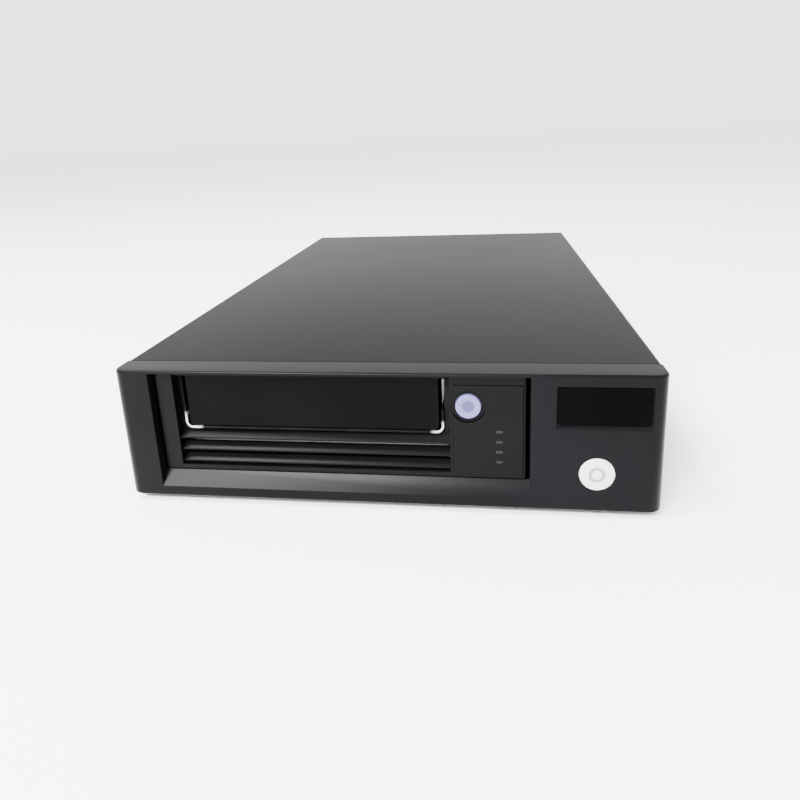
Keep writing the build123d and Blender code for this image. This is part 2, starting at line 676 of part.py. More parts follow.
# Face of the mechanism: recess with door passage and louvres, raised pad with the button
passage_half = guide_outer + 0.2
passage_z0 = lane_floor - guide_wall - 0.2
eject_bore = eject_diameter / 2 + button_gap
pad_cavity_x0 = slot_x1 + 1.4
lights_x = pad_x1 - 9.0
light_zs = [pad_z0 + 5.5 + light_pitch * n for n in range(light_count)]
louvre_zs = [slot_z0 + 1.0 + louvre_pitch * n for n in range(louvre_count)]
with BuildPart() as mech_face:
    with BuildSketch(facing(mech_y0)):
        with Locations((mech_x, (face_z0 + face_z1) / 2)):
            RectangleRounded(face_width, face_height, 1.0)
    extrude(amount=face_depth)
    chamfer(mech_face.faces().sort_by(Axis.Y)[0].edges(), 0.4)
    with BuildSketch(facing(face_y)):
        with Locations(((pad_x0 + pad_x1) / 2, (pad_z0 + pad_z1) / 2)):
            RectangleRounded(pad_x1 - pad_x0, pad_z1 - pad_z0, 0.8)
    extrude(amount=pad_proud, taper=20)
    # dished well round the eject button
    with Locations(Location((eject_x, face_y - pad_proud, eject_z), (90, 0, 0))):
        Cylinder(eject_bore + 1.6, 2 * (pad_proud + 0.5), mode=Mode.SUBTRACT)
    # recess shared by the door and the louvres, then the way through for the cartridge
    block(slot_x0, slot_x1, face_y, face_y + slot_recess, slot_z0, slot_z1, Mode.SUBTRACT)
    block(lane_x - passage_half, lane_x + passage_half, face_y, mech_y0, passage_z0, slot_z1,
          Mode.SUBTRACT)
    block(slot_x0 + 1.0, slot_x1 - 1.0, face_y + slot_recess, mech_y0, slot_z0 + 0.6,
          passage_z0 - 1.4, Mode.SUBTRACT)
    # hollow behind the margin and behind the pad
    block(face_x0 + face_wall, slot_x0 - face_wall, face_y + 2 * face_wall, mech_y0,
          face_z0 + face_wall, hinge_z - 2.4, Mode.SUBTRACT)
    block(pad_cavity_x0, face_x1 - face_wall, face_y + face_wall, mech_y0, face_z0 + face_wall,
          face_z1 - face_wall, Mode.SUBTRACT)
    # louvre blades slope up to the rear
    for z in louvre_zs:
        with BuildSketch(sideways(slot_x0)):
            with BuildLine():
                Polyline((face_y + 1.0, z), (face_y + 1.0, z + 0.5 * louvre_thickness),
                         (face_y + 1.0 + louvre_run, z + louvre_rise + louvre_thickness),
                         (face_y + 1.0 + louvre_run, z + louvre_rise), close=True)
            make_face()
        extrude(amount=slot_width)
    # pivot holes of the door
    rod_along_x(hinge_y, hinge_z, slot_x0 - 2.0, slot_x1 + 2.0,
                door_pin_radius + pivot_clearance, Mode.SUBTRACT)
    rod_along_y(eject_x, eject_z, face_y - pad_proud, face_y + face_wall, eject_bore, Mode.SUBTRACT)
    with BuildSketch(facing(mech_y0)):
        with Locations(*[(lights_x, z) for z in light_zs]):
            Rectangle(light_width + 0.1, light_height + 0.1)
    extrude(amount=face_depth + pad_proud, mode=Mode.SUBTRACT)
keep(mech_face, "mech_face")

# Entry guide: a folded steel trough whose bright front edge shows at the foot of the door
guide_y0 = face_y + door_setback - 0.4
with BuildPart() as entry_guide:
    with BuildSketch(facing(mech_y0 + mech_wall)):
        with Locations((lane_x, lane_floor - guide_wall + (guide_side + guide_wall) / 2)):
            trough = Rectangle(2 * guide_outer, guide_side + guide_wall)
        fillet(trough.vertices().group_by(Axis.Y)[0], guide_corner)
    extrude(amount=mech_y0 + mech_wall - guide_y0)
    with BuildSketch(facing(mech_y0 + mech_wall)):
        with Locations((lane_x, lane_floor + guide_side / 2)):
            hollow = Rectangle(2 * guide_inner, guide_side)
        fillet(hollow.vertices().group_by(Axis.Y)[0], guide_corner - guide_wall)
    extrude(amount=mech_y0 + mech_wall - guide_y0, mode=Mode.SUBTRACT)
keep(entry_guide, "entry_guide")

# Door: a thin flap with a turned-in foot, hung on two stub pins
door_z0 = lane_floor + door_clearance
door_corner = guide_corner - guide_wall
with BuildPart() as tape_door:
    with BuildSketch(facing(hinge_y + door_thickness / 2)):
        with Locations((lane_x, (door_z0 + hinge_z) / 2)):
            flap = Rectangle(2 * door_half, hinge_z - door_z0)
        fillet(flap.vertices().group_by(Axis.Y)[0], door_corner)
    extrude(amount=door_thickness)
    rod_along_x(hinge_y, hinge_z, lane_x - door_half, lane_x + door_half, door_thickness / 2)
    rod_along_x(hinge_y, hinge_z, slot_x0 - 1.6, slot_x1 + 1.6, door_pin_radius)
keep(tape_door, "tape_door")

# Eject button, its switch, the lights and the small board behind the pad
eject_flange_y = face_y + face_wall + 0.1
with BuildPart() as eject_button:
    rod_along_y(eject_x, eject_z, face_y - pad_proud - 0.3, eject_flange_y, eject_diameter / 2)
    fillet(eject_button.edges().group_by(Axis.Y)[0], 0.7)
    with Locations((eject_x, face_y - pad_proud - 0.3 - 5.6, eject_z)):
        Sphere(6.0, mode=Mode.SUBTRACT)
    rod_along_y(eject_x, eject_z, eject_flange_y, eject_flange_y + button_flange, eject_bore + 0.4)
    rod_along_y(eject_x, eject_z, eject_flange_y + button_flange,
                eject_flange_y + button_flange + 1.2, 1.3)
keep(eject_button, "eject_button")
eject_switch_y = eject_flange_y + button_flange + 1.2 + eject_travel + 0.1
button_board_y = eject_switch_y + 2.0
with BuildPart() as button_board:
    block(pad_cavity_x0 + 0.4, face_x1 - face_wall - 0.4, button_board_y, button_board_y + 1.2,
          face_z0 + face_wall + 0.5, face_z1 - face_wall - 0.5)
    block(eject_x - 3, eject_x + 3, eject_switch_y, button_board_y, eject_z - 3, eject_z + 3)
keep(button_board, "button_board")
with BuildPart() as light_pipes:
    with BuildSketch(facing(button_board_y)):
        with Locations(*[(lights_x, z) for z in light_zs]):
            Rectangle(light_width, light_height)
    extrude(amount=button_board_y - face_y + pad_proud)
keep(light_pipes, "light_pipes")

# Cartridge tray: a folded steel trough with a hub hole and four cam pins
hub_hole = motor_radius + 3.0
with BuildPart() as cartridge_tray:
    with BuildSketch(facing(tray_y1)):
        with Locations((lane_x, tray_z0 + (tray_side + tray_wall) / 2)):
            shell = Rectangle(2 * tray_outer, tray_side + tray_wall)
        fillet(shell.vertices().group_by(Axis.Y)[0], 1.6)
    extrude(amount=tray_length)
    block(lane_x - tray_half, lane_x + tray_half, tray_y0, tray_y1 - tray_wall,
          lane_floor, lane_floor + tray_side, Mode.SUBTRACT)
    block(lane_x - tray_half + 8, lane_x + tray_half - 8, tray_y1 - tray_wall, tray_y1,
          lane_floor + 4, lane_floor + tray_side, Mode.SUBTRACT)
    post(lane_x, supply_y, tray_z0, lane_floor, hub_hole, Mode.SUBTRACT)
    with BuildSketch(level(tray_z0)):
        with Locations((lane_x, supply_y)):
            with GridLocations(2 * hub_hole + 22, 64, 2, 2):
                RectangleRounded(14, 20, 3)
    extrude(amount=tray_wall, mode=Mode.SUBTRACT)
    for y in pin_ys:
        rod_along_x(y, pin_z, lane_x - pin_reach, lane_x - tray_half, tray_pin_radius)
        rod_along_x(y, pin_z, lane_x + tray_half, lane_x + pin_reach, tray_pin_radius)
keep(cartridge_tray, "cartridge_tray")

# Cam slider: two upright plates with sloping slots, joined by a low bar, and a toothed rack
cam_slope = degrees(atan2(tray_drop, cam_travel))
cam_run = sqrt(tray_drop ** 2 + cam_travel ** 2)
rack_y0 = pinion_y - cam_travel - 4.0
rack_y1 = pinion_y + 3.4
rack_tooth = pi * rack_module
with BuildPart() as cam_slider:
    with BuildSketch(sideways(lane_x - cam_outer)):
        with BuildLine():
            Polyline((cam_y0, cam_z0), (cam_y0, cam_z1), (pin_ys[1] + 6, cam_z1),
                     (cam_y1, cam_z0 + 5), (cam_y1, cam_bar_z0), (cam_y1 - 3.0, cam_bar_z0),
                     (cam_y1 - 6.0, cam_z0), close=True)
        make_face()
        for y in pin_ys:
            with Locations((y - cam_travel / 2, pin_z - tray_drop / 2)):
                SlotCenterToCenter(cam_run, 2 * (tray_pin_radius + cam_slot_play),
                                   rotation=cam_slope, mode=Mode.SUBTRACT)
        with Locations((pin_ys[0] + 20.0, (cam_z0 + cam_z1) / 2 - 1.5)):
            SlotOverall(18, 6, mode=Mode.SUBTRACT)
    extrude(amount=cam_plate)
    mirror(about=Plane.YZ.offset(lane_x))
    block(lane_x - cam_outer, lane_x + cam_outer, cam_y1 - 2.5, cam_y1, cam_bar_z0, cam_z0 - 0.6)
    block(lane_x + cam_outer, rack_x - 1.2 * rack_module, rack_y0, rack_y1, rack_z0,
          rack_z0 + rack_height)
    with BuildSketch(level(rack_z0)):
        first = round((rack_y0 - pinion_y) / rack_tooth) + 1
        last = round((rack_y1 - pinion_y) / rack_tooth) - 1
        for n in range(first, last + 1):
            y = pinion_y + (n + 0.5) * rack_tooth
            half = rack_tooth / 4 - 0.06
            flare = 1.2 * rack_module * 0.364
            draw = 0.85 * rack_module * 0.364
            with BuildLine():
                Polyline((rack_x - 1.2 * rack_module - 0.1, y - half - flare),
                         (rack_x + 0.85 * rack_module, y - half + draw),
                         (rack_x + 0.85 * rack_module, y + half - draw),
                         (rack_x - 1.2 * rack_module - 0.1, y + half + flare), close=True)
            make_face()
    extrude(amount=rack_height)
keep(cam_slider, "cam_slider")

# Loader gears: a pinion on the rack, its larger wheel, and the motor's own pinion
with BuildPart() as loader_gear:
    with BuildSketch(level(rack_z0)):
        with Locations((pinion_x, pinion_y)):
            Polygon(*gear_outline(rack_module, pinion_teeth), align=None,
                    rotation=180)
    extrude(amount=rack_height)
    post(pinion_x, pinion_y, rack_z0 + rack_height, wheel_z0, 3.0)
    with BuildSketch(level(wheel_z0)):
        with Locations((pinion_x, pinion_y)):
            Polygon(*gear_outline(wheel_module, wheel_teeth), align=None,
                    rotation=loader_angle)
    extrude(amount=gear_face)
    post(pinion_x, pinion_y, rack_z0, wheel_z0 + gear_face, axle_radius + axle_play, Mode.SUBTRACT)
keep(loader_gear, "loader_gear")
with BuildPart() as motor_pinion:
    with BuildSketch(level(wheel_z0)):
        with Locations((loader_x, loader_y)):
            Polygon(*gear_outline(wheel_module, motor_pinion_teeth), align=None,
                    rotation=loader_angle + 180 + 180 / motor_pinion_teeth)
    extrude(amount=gear_face)
    post(loader_x, loader_y, wheel_z0 + gear_face, bracket_z0 + 1.2, 1.0)
keep(motor_pinion, "motor_pinion")
bracket_x0 = loader_x - 7.5
bracket_x1 = mech_x1 - mech_wall
with BuildPart() as loader_bracket:
    block(bracket_x0, bracket_x1, loader_y - 8, loader_y + 8, bracket_z0, bracket_z0 + 1.2)
    block(bracket_x1 - 1.2, bracket_x1, loader_y - 8, loader_y + 8, deck_top, bracket_z0 + 1.2)
    block(bracket_x1 - 7.0, bracket_x1, loader_y - 8, loader_y + 8, deck_top, deck_top + 1.2)
    post(loader_x, loader_y, bracket_z0, bracket_z0 + 1.2, 1.3, Mode.SUBTRACT)
keep(loader_bracket, "loader_bracket")
with BuildPart() as loader_motor:
    post(loader_x, loader_y, bracket_z0 + 1.2, lid_under - 1.6, 6.0)
    fillet(loader_motor.edges().group_by(Axis.Z)[-1], 1.0)
keep(loader_motor, "loader_motor")


def stator(x, y):
    """The fixed half of a flat reel motor: a plate, a bearing post and a toothed core."""
    post(x, y, deck_top, deck_top + 0.8, motor_radius + 1.0)
    post(x, y, deck_top, deck_top + motor_height + 0.6, bearing_radius)
    with BuildSketch(level(deck_top + 0.8)) as core:
        with Locations((x, y)):
            Circle(8.0)
            with PolarLocations(stator_radius / 2 + 3.0, stator_teeth):
                Rectangle(stator_radius - 6.0, 2.6)
            with PolarLocations(stator_radius - 0.9, stator_teeth):
                Rectangle(1.8, 7.4)
        with Locations((x, y)):
            Circle(bearing_radius + 2.2, mode=Mode.SUBTRACT)
    extrude(core.sketch, amount=2.2)


def rotor(x, y):
    """The turning cup of a flat reel motor, running on the bearing post."""
    top = deck_top + motor_height
    post(x, y, deck_top + 1.4, top, motor_radius)
    post(x, y, deck_top + 1.4, top - 1.2, motor_radius - motor_cup, Mode.SUBTRACT)
    post(x, y, deck_top + 1.4, top, bearing_radius + 1.6)
    post(x, y, deck_top + 1.4, top, bearing_radius + bearing_play, Mode.SUBTRACT)


with BuildPart() as supply_stator:
    stator(lane_x, supply_y)
keep(supply_stator, "supply_stator")
with BuildPart() as supply_clutch:
    rotor(lane_x, supply_y)
    clutch_z = deck_top + motor_height
    with BuildSketch(level(clutch_z)):
        with Locations((lane_x, supply_y)):
            Circle(clutch_inner)
            Circle(bearing_radius + 1.2, mode=Mode.SUBTRACT)
            with PolarLocations((clutch_inner + clutch_outer) / 2, clutch_teeth):
                Trapezoid(clutch_outer - clutch_inner + 0.4, 2.2, 82)
    extrude(amount=clutch_rise)
keep(supply_clutch, "supply_clutch")
with BuildPart() as takeup_stator:
    stator(reel_x, reel_y)
keep(takeup_stator, "takeup_stator")
reel_z0 = tape_z - tape_width / 2 - reel_flange - 0.2
reel_z1 = tape_z + tape_width / 2 + reel_flange + 0.2
with BuildPart() as takeup_rotor:
    rotor(reel_x, reel_y)
    with BuildSketch(level(deck_top + motor_height)):
        with Locations((reel_x, reel_y)):
            Circle(bearing_radius + 5.0)
            Circle(bearing_radius + 1.2, mode=Mode.SUBTRACT)
    extrude(amount=reel_z0 - deck_top - motor_height)
keep(takeup_rotor, "takeup_rotor")
with BuildPart() as takeup_reel:
    for z in (reel_z0, reel_z1 - reel_flange):
        with BuildSketch(level(z)):
            with Locations((reel_x, reel_y)):
                Circle(reel_diameter / 2)
                with PolarLocations(hub_radius + 9.0, 3, start_angle=60):
                    Circle(6.0, mode=Mode.SUBTRACT)
        extrude(amount=reel_flange)
    post(reel_x, reel_y, reel_z0, reel_z1, hub_radius)
    post(reel_x, reel_y, reel_z0 + reel_flange, reel_z1, hub_radius - 2.4, Mode.SUBTRACT)
    post(reel_x, reel_y, reel_z0, reel_z1 - reel_flange, 6.0)
    # mouth that swallows the leader block
    block(reel_x - hub_radius - 1, reel_x - 8.0, reel_y - 4.5, reel_y + 4.5,
          reel_z0 + reel_flange, reel_z1, Mode.SUBTRACT)
    post(reel_x, reel_y, reel_z0, reel_z0 + 3.0, bearing_radius + 1.4, Mode.SUBTRACT)
keep(takeup_reel, "takeup_reel")

# Four guide rollers on fixed posts beside the head
roller_z0 = tape_z - tape_width / 2 - roller_flange - 0.1
roller_z1 = tape_z + tape_width / 2 + roller_flange + 0.1
for number, (x, y) in enumerate(roller_places, start=1):
    with BuildPart() as roller:
        post(x, y, roller_z0, roller_z1, roller_radius)
        post(x, y, roller_z0, roller_z0 + roller_flange, roller_flange_radius)
        post(x, y, roller_z1 - roller_flange, roller_z1, roller_flange_radius)
        chamfer(roller.edges().filter_by(GeomType.CIRCLE).group_by(Axis.Z)[-1], 0.3)
        post(x, y, roller_z0, roller_z1, roller_axle + bearing_play, Mode.SUBTRACT)
    keep(roller, f"guide_roller_{number}")
with BuildPart() as deck_pins:
    post(pinion_x, pinion_y, deck_top, wheel_z0 + gear_face + 0.5, axle_radius)
    post(pinion_x, pinion_y, deck_top, rack_z0 - 0.4, 2.6)
    for x, y in roller_places:
        post(x, y, deck_top, roller_z1 + 1.4, roller_axle)
        post(x, y, deck_top, roller_z0 - 0.4, roller_axle + 1.2)
keep(deck_pins, "deck_pins")

# Tape head on a carriage that a lead screw lifts along two rods
rod_ys = (reel_y - 5.2, reel_y + 5.2)
with BuildPart() as head_carriage:
    block(head_x0, head_x1 - 2.6, reel_y - head_width / 2, reel_y + head_width / 2, head_z0,
          head_z0 + head_height)
    with BuildSketch(level(head_z0 + 0.5)):
        for dy in (-3.4, 3.4):
            with Locations((head_x1 - 2.6, reel_y + dy)):
                Ellipse(2.6, 2.2)
    extrude(amount=head_height - 1.0)
    for y in rod_ys:
        post(head_axis_x, y, head_z0, head_z0 + head_height, rod_radius + 0.1, Mode.SUBTRACT)
    post(head_axis_x, reel_y, head_z0, head_z0 + head_height, screw_radius + 0.15, Mode.SUBTRACT)
keep(head_carriage, "head_carriage")
with BuildPart() as head_rods:
    for y in rod_ys:
        post(head_axis_x, y, deck_top, bridge_z0, rod_radius)
keep(head_rods, "head_rods")
with BuildPart() as head_screw:
    post(head_axis_x, reel_y, deck_top + 0.6, bridge_z0 + 1.2, screw_radius)
keep(head_screw, "head_screw")
with BuildPart() as head_bridge:
    with BuildSketch(level(bridge_z0)):
        with Locations((head_axis_x, reel_y)):
            RectangleRounded(11.0, head_width + 3.0, 2.0)
            Circle(screw_radius + 0.1, mode=Mode.SUBTRACT)
    extrude(amount=1.2)
keep(head_bridge, "head_bridge")
with BuildPart() as head_motor:
    post(head_axis_x, reel_y, bridge_z0 + 1.2, lid_under - 0.8, 4.8)
keep(head_motor, "head_motor")

# Threader: a rail over the tape path and the catcher that draws the leader along it
rail_y0 = mech_y0 + lane_bay - 11.0
rail_y1 = mech_y1 - mech_wall - 4.0
rail_z0 = roller_z1 + 3.0
catcher_travel = 68.0
catcher_length = 7.0
with BuildPart() as threader_rail:
    block(rail_x - 1.6, rail_x + 1.6, rail_y0, rail_y1, rail_z0, rail_z0 + 4.0)
    for y in (mech_y0 + lane_bay + 8.0, rail_y1 - 2.0):
        block(rail_x - 1.6, rail_x + 1.6, y - 2.0, y + 2.0, deck_top, rail_z0)
keep(threader_rail, "threader_rail")
with BuildPart() as leader_catcher:
    block(rail_x - 3.2, rail_x + 3.2, rail_y0 + 1, rail_y0 + 1 + catcher_length,
          rail_z0 - 1.6, rail_z0 + 5.4)
    block(rail_x - 1.9, rail_x + 1.9, rail_y0 + 1, rail_y0 + 1 + catcher_length,
          rail_z0 - 1.6, rail_z0 + 4.3, Mode.SUBTRACT)
    block(rail_x - 7.0, rail_x - 3.0, rail_y0 + 1, rail_y0 + 1 + catcher_length,
          tape_z - tape_width / 2, rail_z0 + 2.0)
    with Locations((rail_x - 7.0, rail_y0 + 1 + catcher_length / 2, tape_z)):
        Cylinder(1.6, tape_width - 3.0, mode=Mode.SUBTRACT)
keep(leader_catcher, "leader_catcher")

# Controller board under the deck, its chips and the rear sockets
with BuildPart() as controller_board:
    block(mech_x0 + mech_wall + 1.0, mech_x1 - mech_wall - 1.0, mech_y0 + mech_wall + 1.0,
          mech_y1 - 4.0, board_z, board_z + 1.4)
keep(controller_board, "controller_board")
with BuildPart() as controller_chips:
    for x, y, size in ((-20, 60, 24), (24, 62, 18), (-34, 110, 14), (10, 120, 20), (40, 120, 12)):
        block(mech_x + x - size / 2, mech_x + x + size / 2, mech_y0 + y - size / 2,
              mech_y0 + y + size / 2, board_z + 1.4, board_z + 3.0)
keep(controller_chips, "controller_chips")
with BuildPart() as mech_sockets:
    block(mech_x - 38, mech_x - 8, mech_y1 - 9.0, mech_y1 + 1.5, board_z + 1.4, board_z + 3.9)
    block(mech_x + 6, mech_x + 28, mech_y1 - 9.0, mech_y1 + 1.5, board_z + 1.4, board_z + 3.9)
keep(mech_sockets, "mech_sockets")

# Rails that carry the mechanism on the floor of the base
with BuildPart() as mount_rails:
    for side in (-1, 1):
        inner = mech_x + side * (mech_width / 2 - 9.0)
        outer_edge = mech_x + side * (mech_width / 2 - 0.6)
        low, high = min(inner, outer_edge), max(inner, outer_edge)
        block(low, high, mech_y0 + 16, mech_y1 - 20, floor_top, floor_top + 1.2)
        block(low, high, mech_y0 + 16, mech_y1 - 20, mech_z0 - 1.2, mech_z0)
        web = outer_edge - side * 1.2
        block(min(web, outer_edge), max(web, outer_edge), mech_y0 + 16, mech_y1 - 20, floor_top,
              mech_z0)
keep(mount_rails, "mount_rails")

# Rear fan: frame with struts, bladed rotor and wire guard
fan_y1 = rear_y - sheet
fan_y0 = fan_y1 - fan_thickness
with BuildPart() as fan_frame:
    with BuildSketch(facing(fan_y1)):
        with Locations((fan_x, fan_z)):
            RectangleRounded(fan_size, fan_size, 2.5)
            Circle(fan_bore / 2, mode=Mode.SUBTRACT)
        with Locations(*fan_holes):
            Circle(fan_hole_radius, mode=Mode.SUBTRACT)
    extrude(amount=fan_thickness)
    with BuildSketch(facing(fan_y0 + 2.4)):
        with Locations((fan_x, fan_z)):
            Circle(fan_hub)
            with PolarLocations((fan_hub + fan_bore / 2) / 2, 3, start_angle=90):
                Rectangle(fan_bore / 2 - fan_hub + 1.2, 2.2)
    extrude(amount=2.4)
    rod_along_y(fan_x, fan_z, fan_y0 + 2.0, fan_y0 + 8.0, 2.0)
keep(fan_frame, "fan_frame")
rotor_y0 = fan_y0 + 3.0
rotor_y1 = fan_y1 - 1.2
blade_reach = fan_bore / 2 - 0.8
with BuildPart() as fan_rotor:
    rod_along_y(fan_x, fan_z, rotor_y0, rotor_y1, fan_hub)
    fillet(fan_rotor.edges().group_by(Axis.Y)[-1], 1.2)
    rod_along_y(fan_x, fan_z, rotor_y0, rotor_y1 - 2.0, 2.0 + bearing_play, Mode.SUBTRACT)
    rod_along_y(fan_x, fan_z, rotor_y0, rotor_y0 + 1.0, fan_hub - 1.4, Mode.SUBTRACT)
    blade_middle = (rotor_y0 + rotor_y1) / 2
    for n in range(fan_blades):
        turn = 360 * n / fan_blades
        hub_plane = Plane((fan_x, blade_middle, fan_z), x_dir=(0, 1, 0),
                          z_dir=(cos(radians(turn)), 0, sin(radians(turn))))
        with BuildSketch(hub_plane.offset(fan_hub - 0.8)):
            Rectangle(12.6, 1.1, rotation=32)
        with BuildSketch(hub_plane.offset(blade_reach)):
            Rectangle(13.6, 0.8, rotation=52)
        loft()
keep(fan_rotor, "fan_rotor")
arm_reach = fan_hole_pitch / 2 * sqrt(2)
eyelet_radius = screw_head_radius + 0.4
with BuildPart() as fan_guard:
    with BuildSketch(facing(rear_y + guard_wire)):
        with Locations(*fan_holes):
            Circle(eyelet_radius)
            Circle(screw_shank_radius + 0.2, mode=Mode.SUBTRACT)
    extrude(amount=guard_wire)
    for turn in (45, 135, 225, 315):
        arm_plane = Plane((fan_x, rear_y + 0.45 * guard_wire, fan_z), x_dir=(0, 1, 0),
                          z_dir=(cos(radians(turn)), 0, sin(radians(turn))))
        with BuildSketch(arm_plane.offset(guard_rings[0])):
            Circle(0.4 * guard_wire)
        extrude(amount=arm_reach - guard_rings[0] - 0.7 * eyelet_radius)
    # each ring is a wire lying on the arms, drawn with an eight-sided section
    for ring in guard_rings:
        with BuildSketch(Plane((fan_x, rear_y + guard_wire, fan_z), x_dir=(1, 0, 0),
                               z_dir=(0, 0, 1))):
            with Locations((ring, 0)):
                RegularPolygon(guard_wire / 2, 8)
        revolve(axis=Axis((fan_x, 0, fan_z), (0, 1, 0)))
keep(fan_guard, "fan_guard")
with BuildPart() as fan_screws:
    for x, z in fan_holes:
        machine_screw(Location((x, rear_y + guard_wire, z), (-90, 0, 0)),
                      head=rear_proud - guard_wire, shank=guard_wire + sheet + 6.0)
keep(fan_screws, "fan_screws")

# Mains inlet: flanged moulding with three blades in its socket
blade_places = [(inlet_x + dx, inlet_z + dz) for dx, dz in ((-7.0, -2.0), (0.0, 2.2), (7.0, -2.0))]
with BuildPart() as mains_inlet:
    with BuildSketch(facing(rear_y + inlet_flange)):
        with Locations((inlet_x, inlet_z)):
            RectangleRounded(inlet_width + 3.6, inlet_height + 3.6, 2.0)
    extrude(amount=inlet_flange)
    with BuildSketch(facing(rear_y)):
        with Locations((inlet_x, inlet_z)):
            Rectangle(inlet_width, inlet_height)
    extrude(amount=20.0)
    with BuildSketch(facing(rear_y + inlet_flange)):
        with Locations((inlet_x, inlet_z)):
            mouth = Rectangle(24.0, 16.6)
        chamfer(mouth.vertices().group_by(Axis.Y)[-1], 4.2)
    extrude(amount=17.0, mode=Mode.SUBTRACT)
    for x, z in blade_places:
        block(x - 1.1, x + 1.1, rear_y - 20.0, rear_y, z - 2.1, z + 2.1, Mode.SUBTRACT)
keep(mains_inlet, "mains_inlet")
with BuildPart() as inlet_blades:
    for x, z in blade_places:
        block(x - 1.0, x + 1.0, rear_y - 26.0, rear_y + inlet_flange - blade_recess,
              z - 2.0, z + 2.0)
keep(inlet_blades, "inlet_blades")

# Data sockets on their board
port_depth = 22.0
interface_z = port_z - port_height / 2 - board_thickness
interface_y0 = rear_y - sheet - 46.0
with BuildPart() as data_sockets:
    for x in port_xs:
        block(x - port_width / 2, x + port_width / 2, rear_y - port_depth, rear_y + 1.0,
              port_z - port_height / 2, port_z + port_height / 2)
        block(x - port_width / 2 + 0.6, x + port_width / 2 - 0.6, rear_y - port_depth + 1.0,
              rear_y + 1.0, port_z - port_height / 2 + 0.6, port_z + port_height / 2 - 0.6,
              Mode.SUBTRACT)
        block(x - port_width / 2 + 2.0, x + port_width / 2 - 2.0, rear_y - port_depth + 1.0,
              rear_y - port_depth + 10.0, port_z - 0.6, port_z + 0.6)
keep(data_sockets, "data_sockets")
with BuildPart() as interface_board:
    block(port_x - 30, port_x + 30, interface_y0, rear_y - sheet - 0.5, interface_z,
          interface_z + board_thickness)
keep(interface_board, "interface_board")
with BuildPart() as board_standoffs:
    for x in (port_x - 26, port_x + 26):
        for y in (interface_y0 + 4, rear_y - sheet - 6):
            post(x, y, floor_top, interface_z, standoff_radius)
    for x in (psu_x - psu_width / 2 + 4, psu_x + psu_width / 2 - 4):
        for y in (psu_y0 + 5, psu_y1 - 5):
            post(x, y, floor_top, psu_board_z, standoff_radius)
keep(board_standoffs, "board_standoffs")

# Power supply: board, windings, capacitors and heat sinks under a perforated cage
psu_top = psu_board_z + board_thickness
with BuildPart() as psu_board:
    block(psu_x - psu_width / 2, psu_x + psu_width / 2, psu_y0, psu_y1, psu_board_z, psu_top)
keep(psu_board, "psu_board")
with BuildPart() as psu_transformer:
    block(psu_x - 14, psu_x + 14, psu_y0 + 70, psu_y0 + 96, psu_top, psu_top + 5)
    block(psu_x - 9, psu_x + 9, psu_y0 + 68, psu_y0 + 98, psu_top + 5, psu_top + 16)
    block(psu_x - 14, psu_x + 14, psu_y0 + 70, psu_y0 + 96, psu_top + 16, psu_top + 21)
keep(psu_transformer, "psu_transformer")
with BuildPart() as psu_capacitors:
    with Locations((psu_x - 8, psu_y0 + 124, psu_top), (psu_x + 9, psu_y0 + 124, psu_top)):
        Cylinder(7.5, 24, align=(Align.CENTER, Align.CENTER, Align.MIN))
    with Locations((psu_x - 10, psu_y0 + 16, psu_top), (psu_x + 3, psu_y0 + 16, psu_top),
                   (psu_x + 3, psu_y0 + 30, psu_top)):
        Cylinder(5.0, 18, align=(Align.CENTER, Align.CENTER, Align.MIN))
keep(psu_capacitors, "psu_capacitors")
with BuildPart() as psu_heat_sinks:
    for y in (psu_y0 + 44, psu_y0 + 104):
        block(psu_x - 16, psu_x + 16, y, y + 2.0, psu_top, psu_top + 22)
        for n in range(6):
            x = psu_x - 15.0 + 6.0 * n
            block(x - 0.7, x + 0.7, y + 2.0, y + 8.0, psu_top + 4, psu_top + 22)
keep(psu_heat_sinks, "psu_heat_sinks")
cage_half = psu_width / 2 + 1.6
cage_top = floor_top + psu_height
with BuildPart() as psu_cage:
    with BuildSketch(facing(psu_y1)):
        with Locations((psu_x, (floor_top + cage_top) / 2)):
            Rectangle(2 * cage_half, cage_top - floor_top)
        with Locations((psu_x, (floor_top + cage_top - sheet) / 2)):
            Rectangle(2 * (cage_half - sheet), cage_top - sheet - floor_top, mode=Mode.SUBTRACT)
    extrude(amount=psu_length)
    with BuildSketch(level(cage_top)):
        with Locations((psu_x, (psu_y0 + psu_y1) / 2)):
            with GridLocations(9.0, 9.0, 4, 15):
                Circle(2.4)
    extrude(amount=-sheet, mode=Mode.SUBTRACT)
keep(psu_cage, "psu_cage")
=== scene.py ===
"""Dresses a desktop data tape drive: its finishes, its camera and its finely shaped outer pieces.

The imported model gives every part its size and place. This script gives each part a finish worked
out from nodes, and remakes the parts whose curves show: buttons, feet, screws, the rear fan and
the edges of the housings. Everything is in metres, +X to the right, +Y to the rear and +Z up.
"""

from __future__ import annotations

import json
import logging
import math
from collections.abc import Iterator, Sequence
from contextlib import contextmanager
from dataclasses import dataclass, field, replace
from enum import Enum

import bmesh
import bpy
import numpy as np
from mathutils import Matrix, Vector

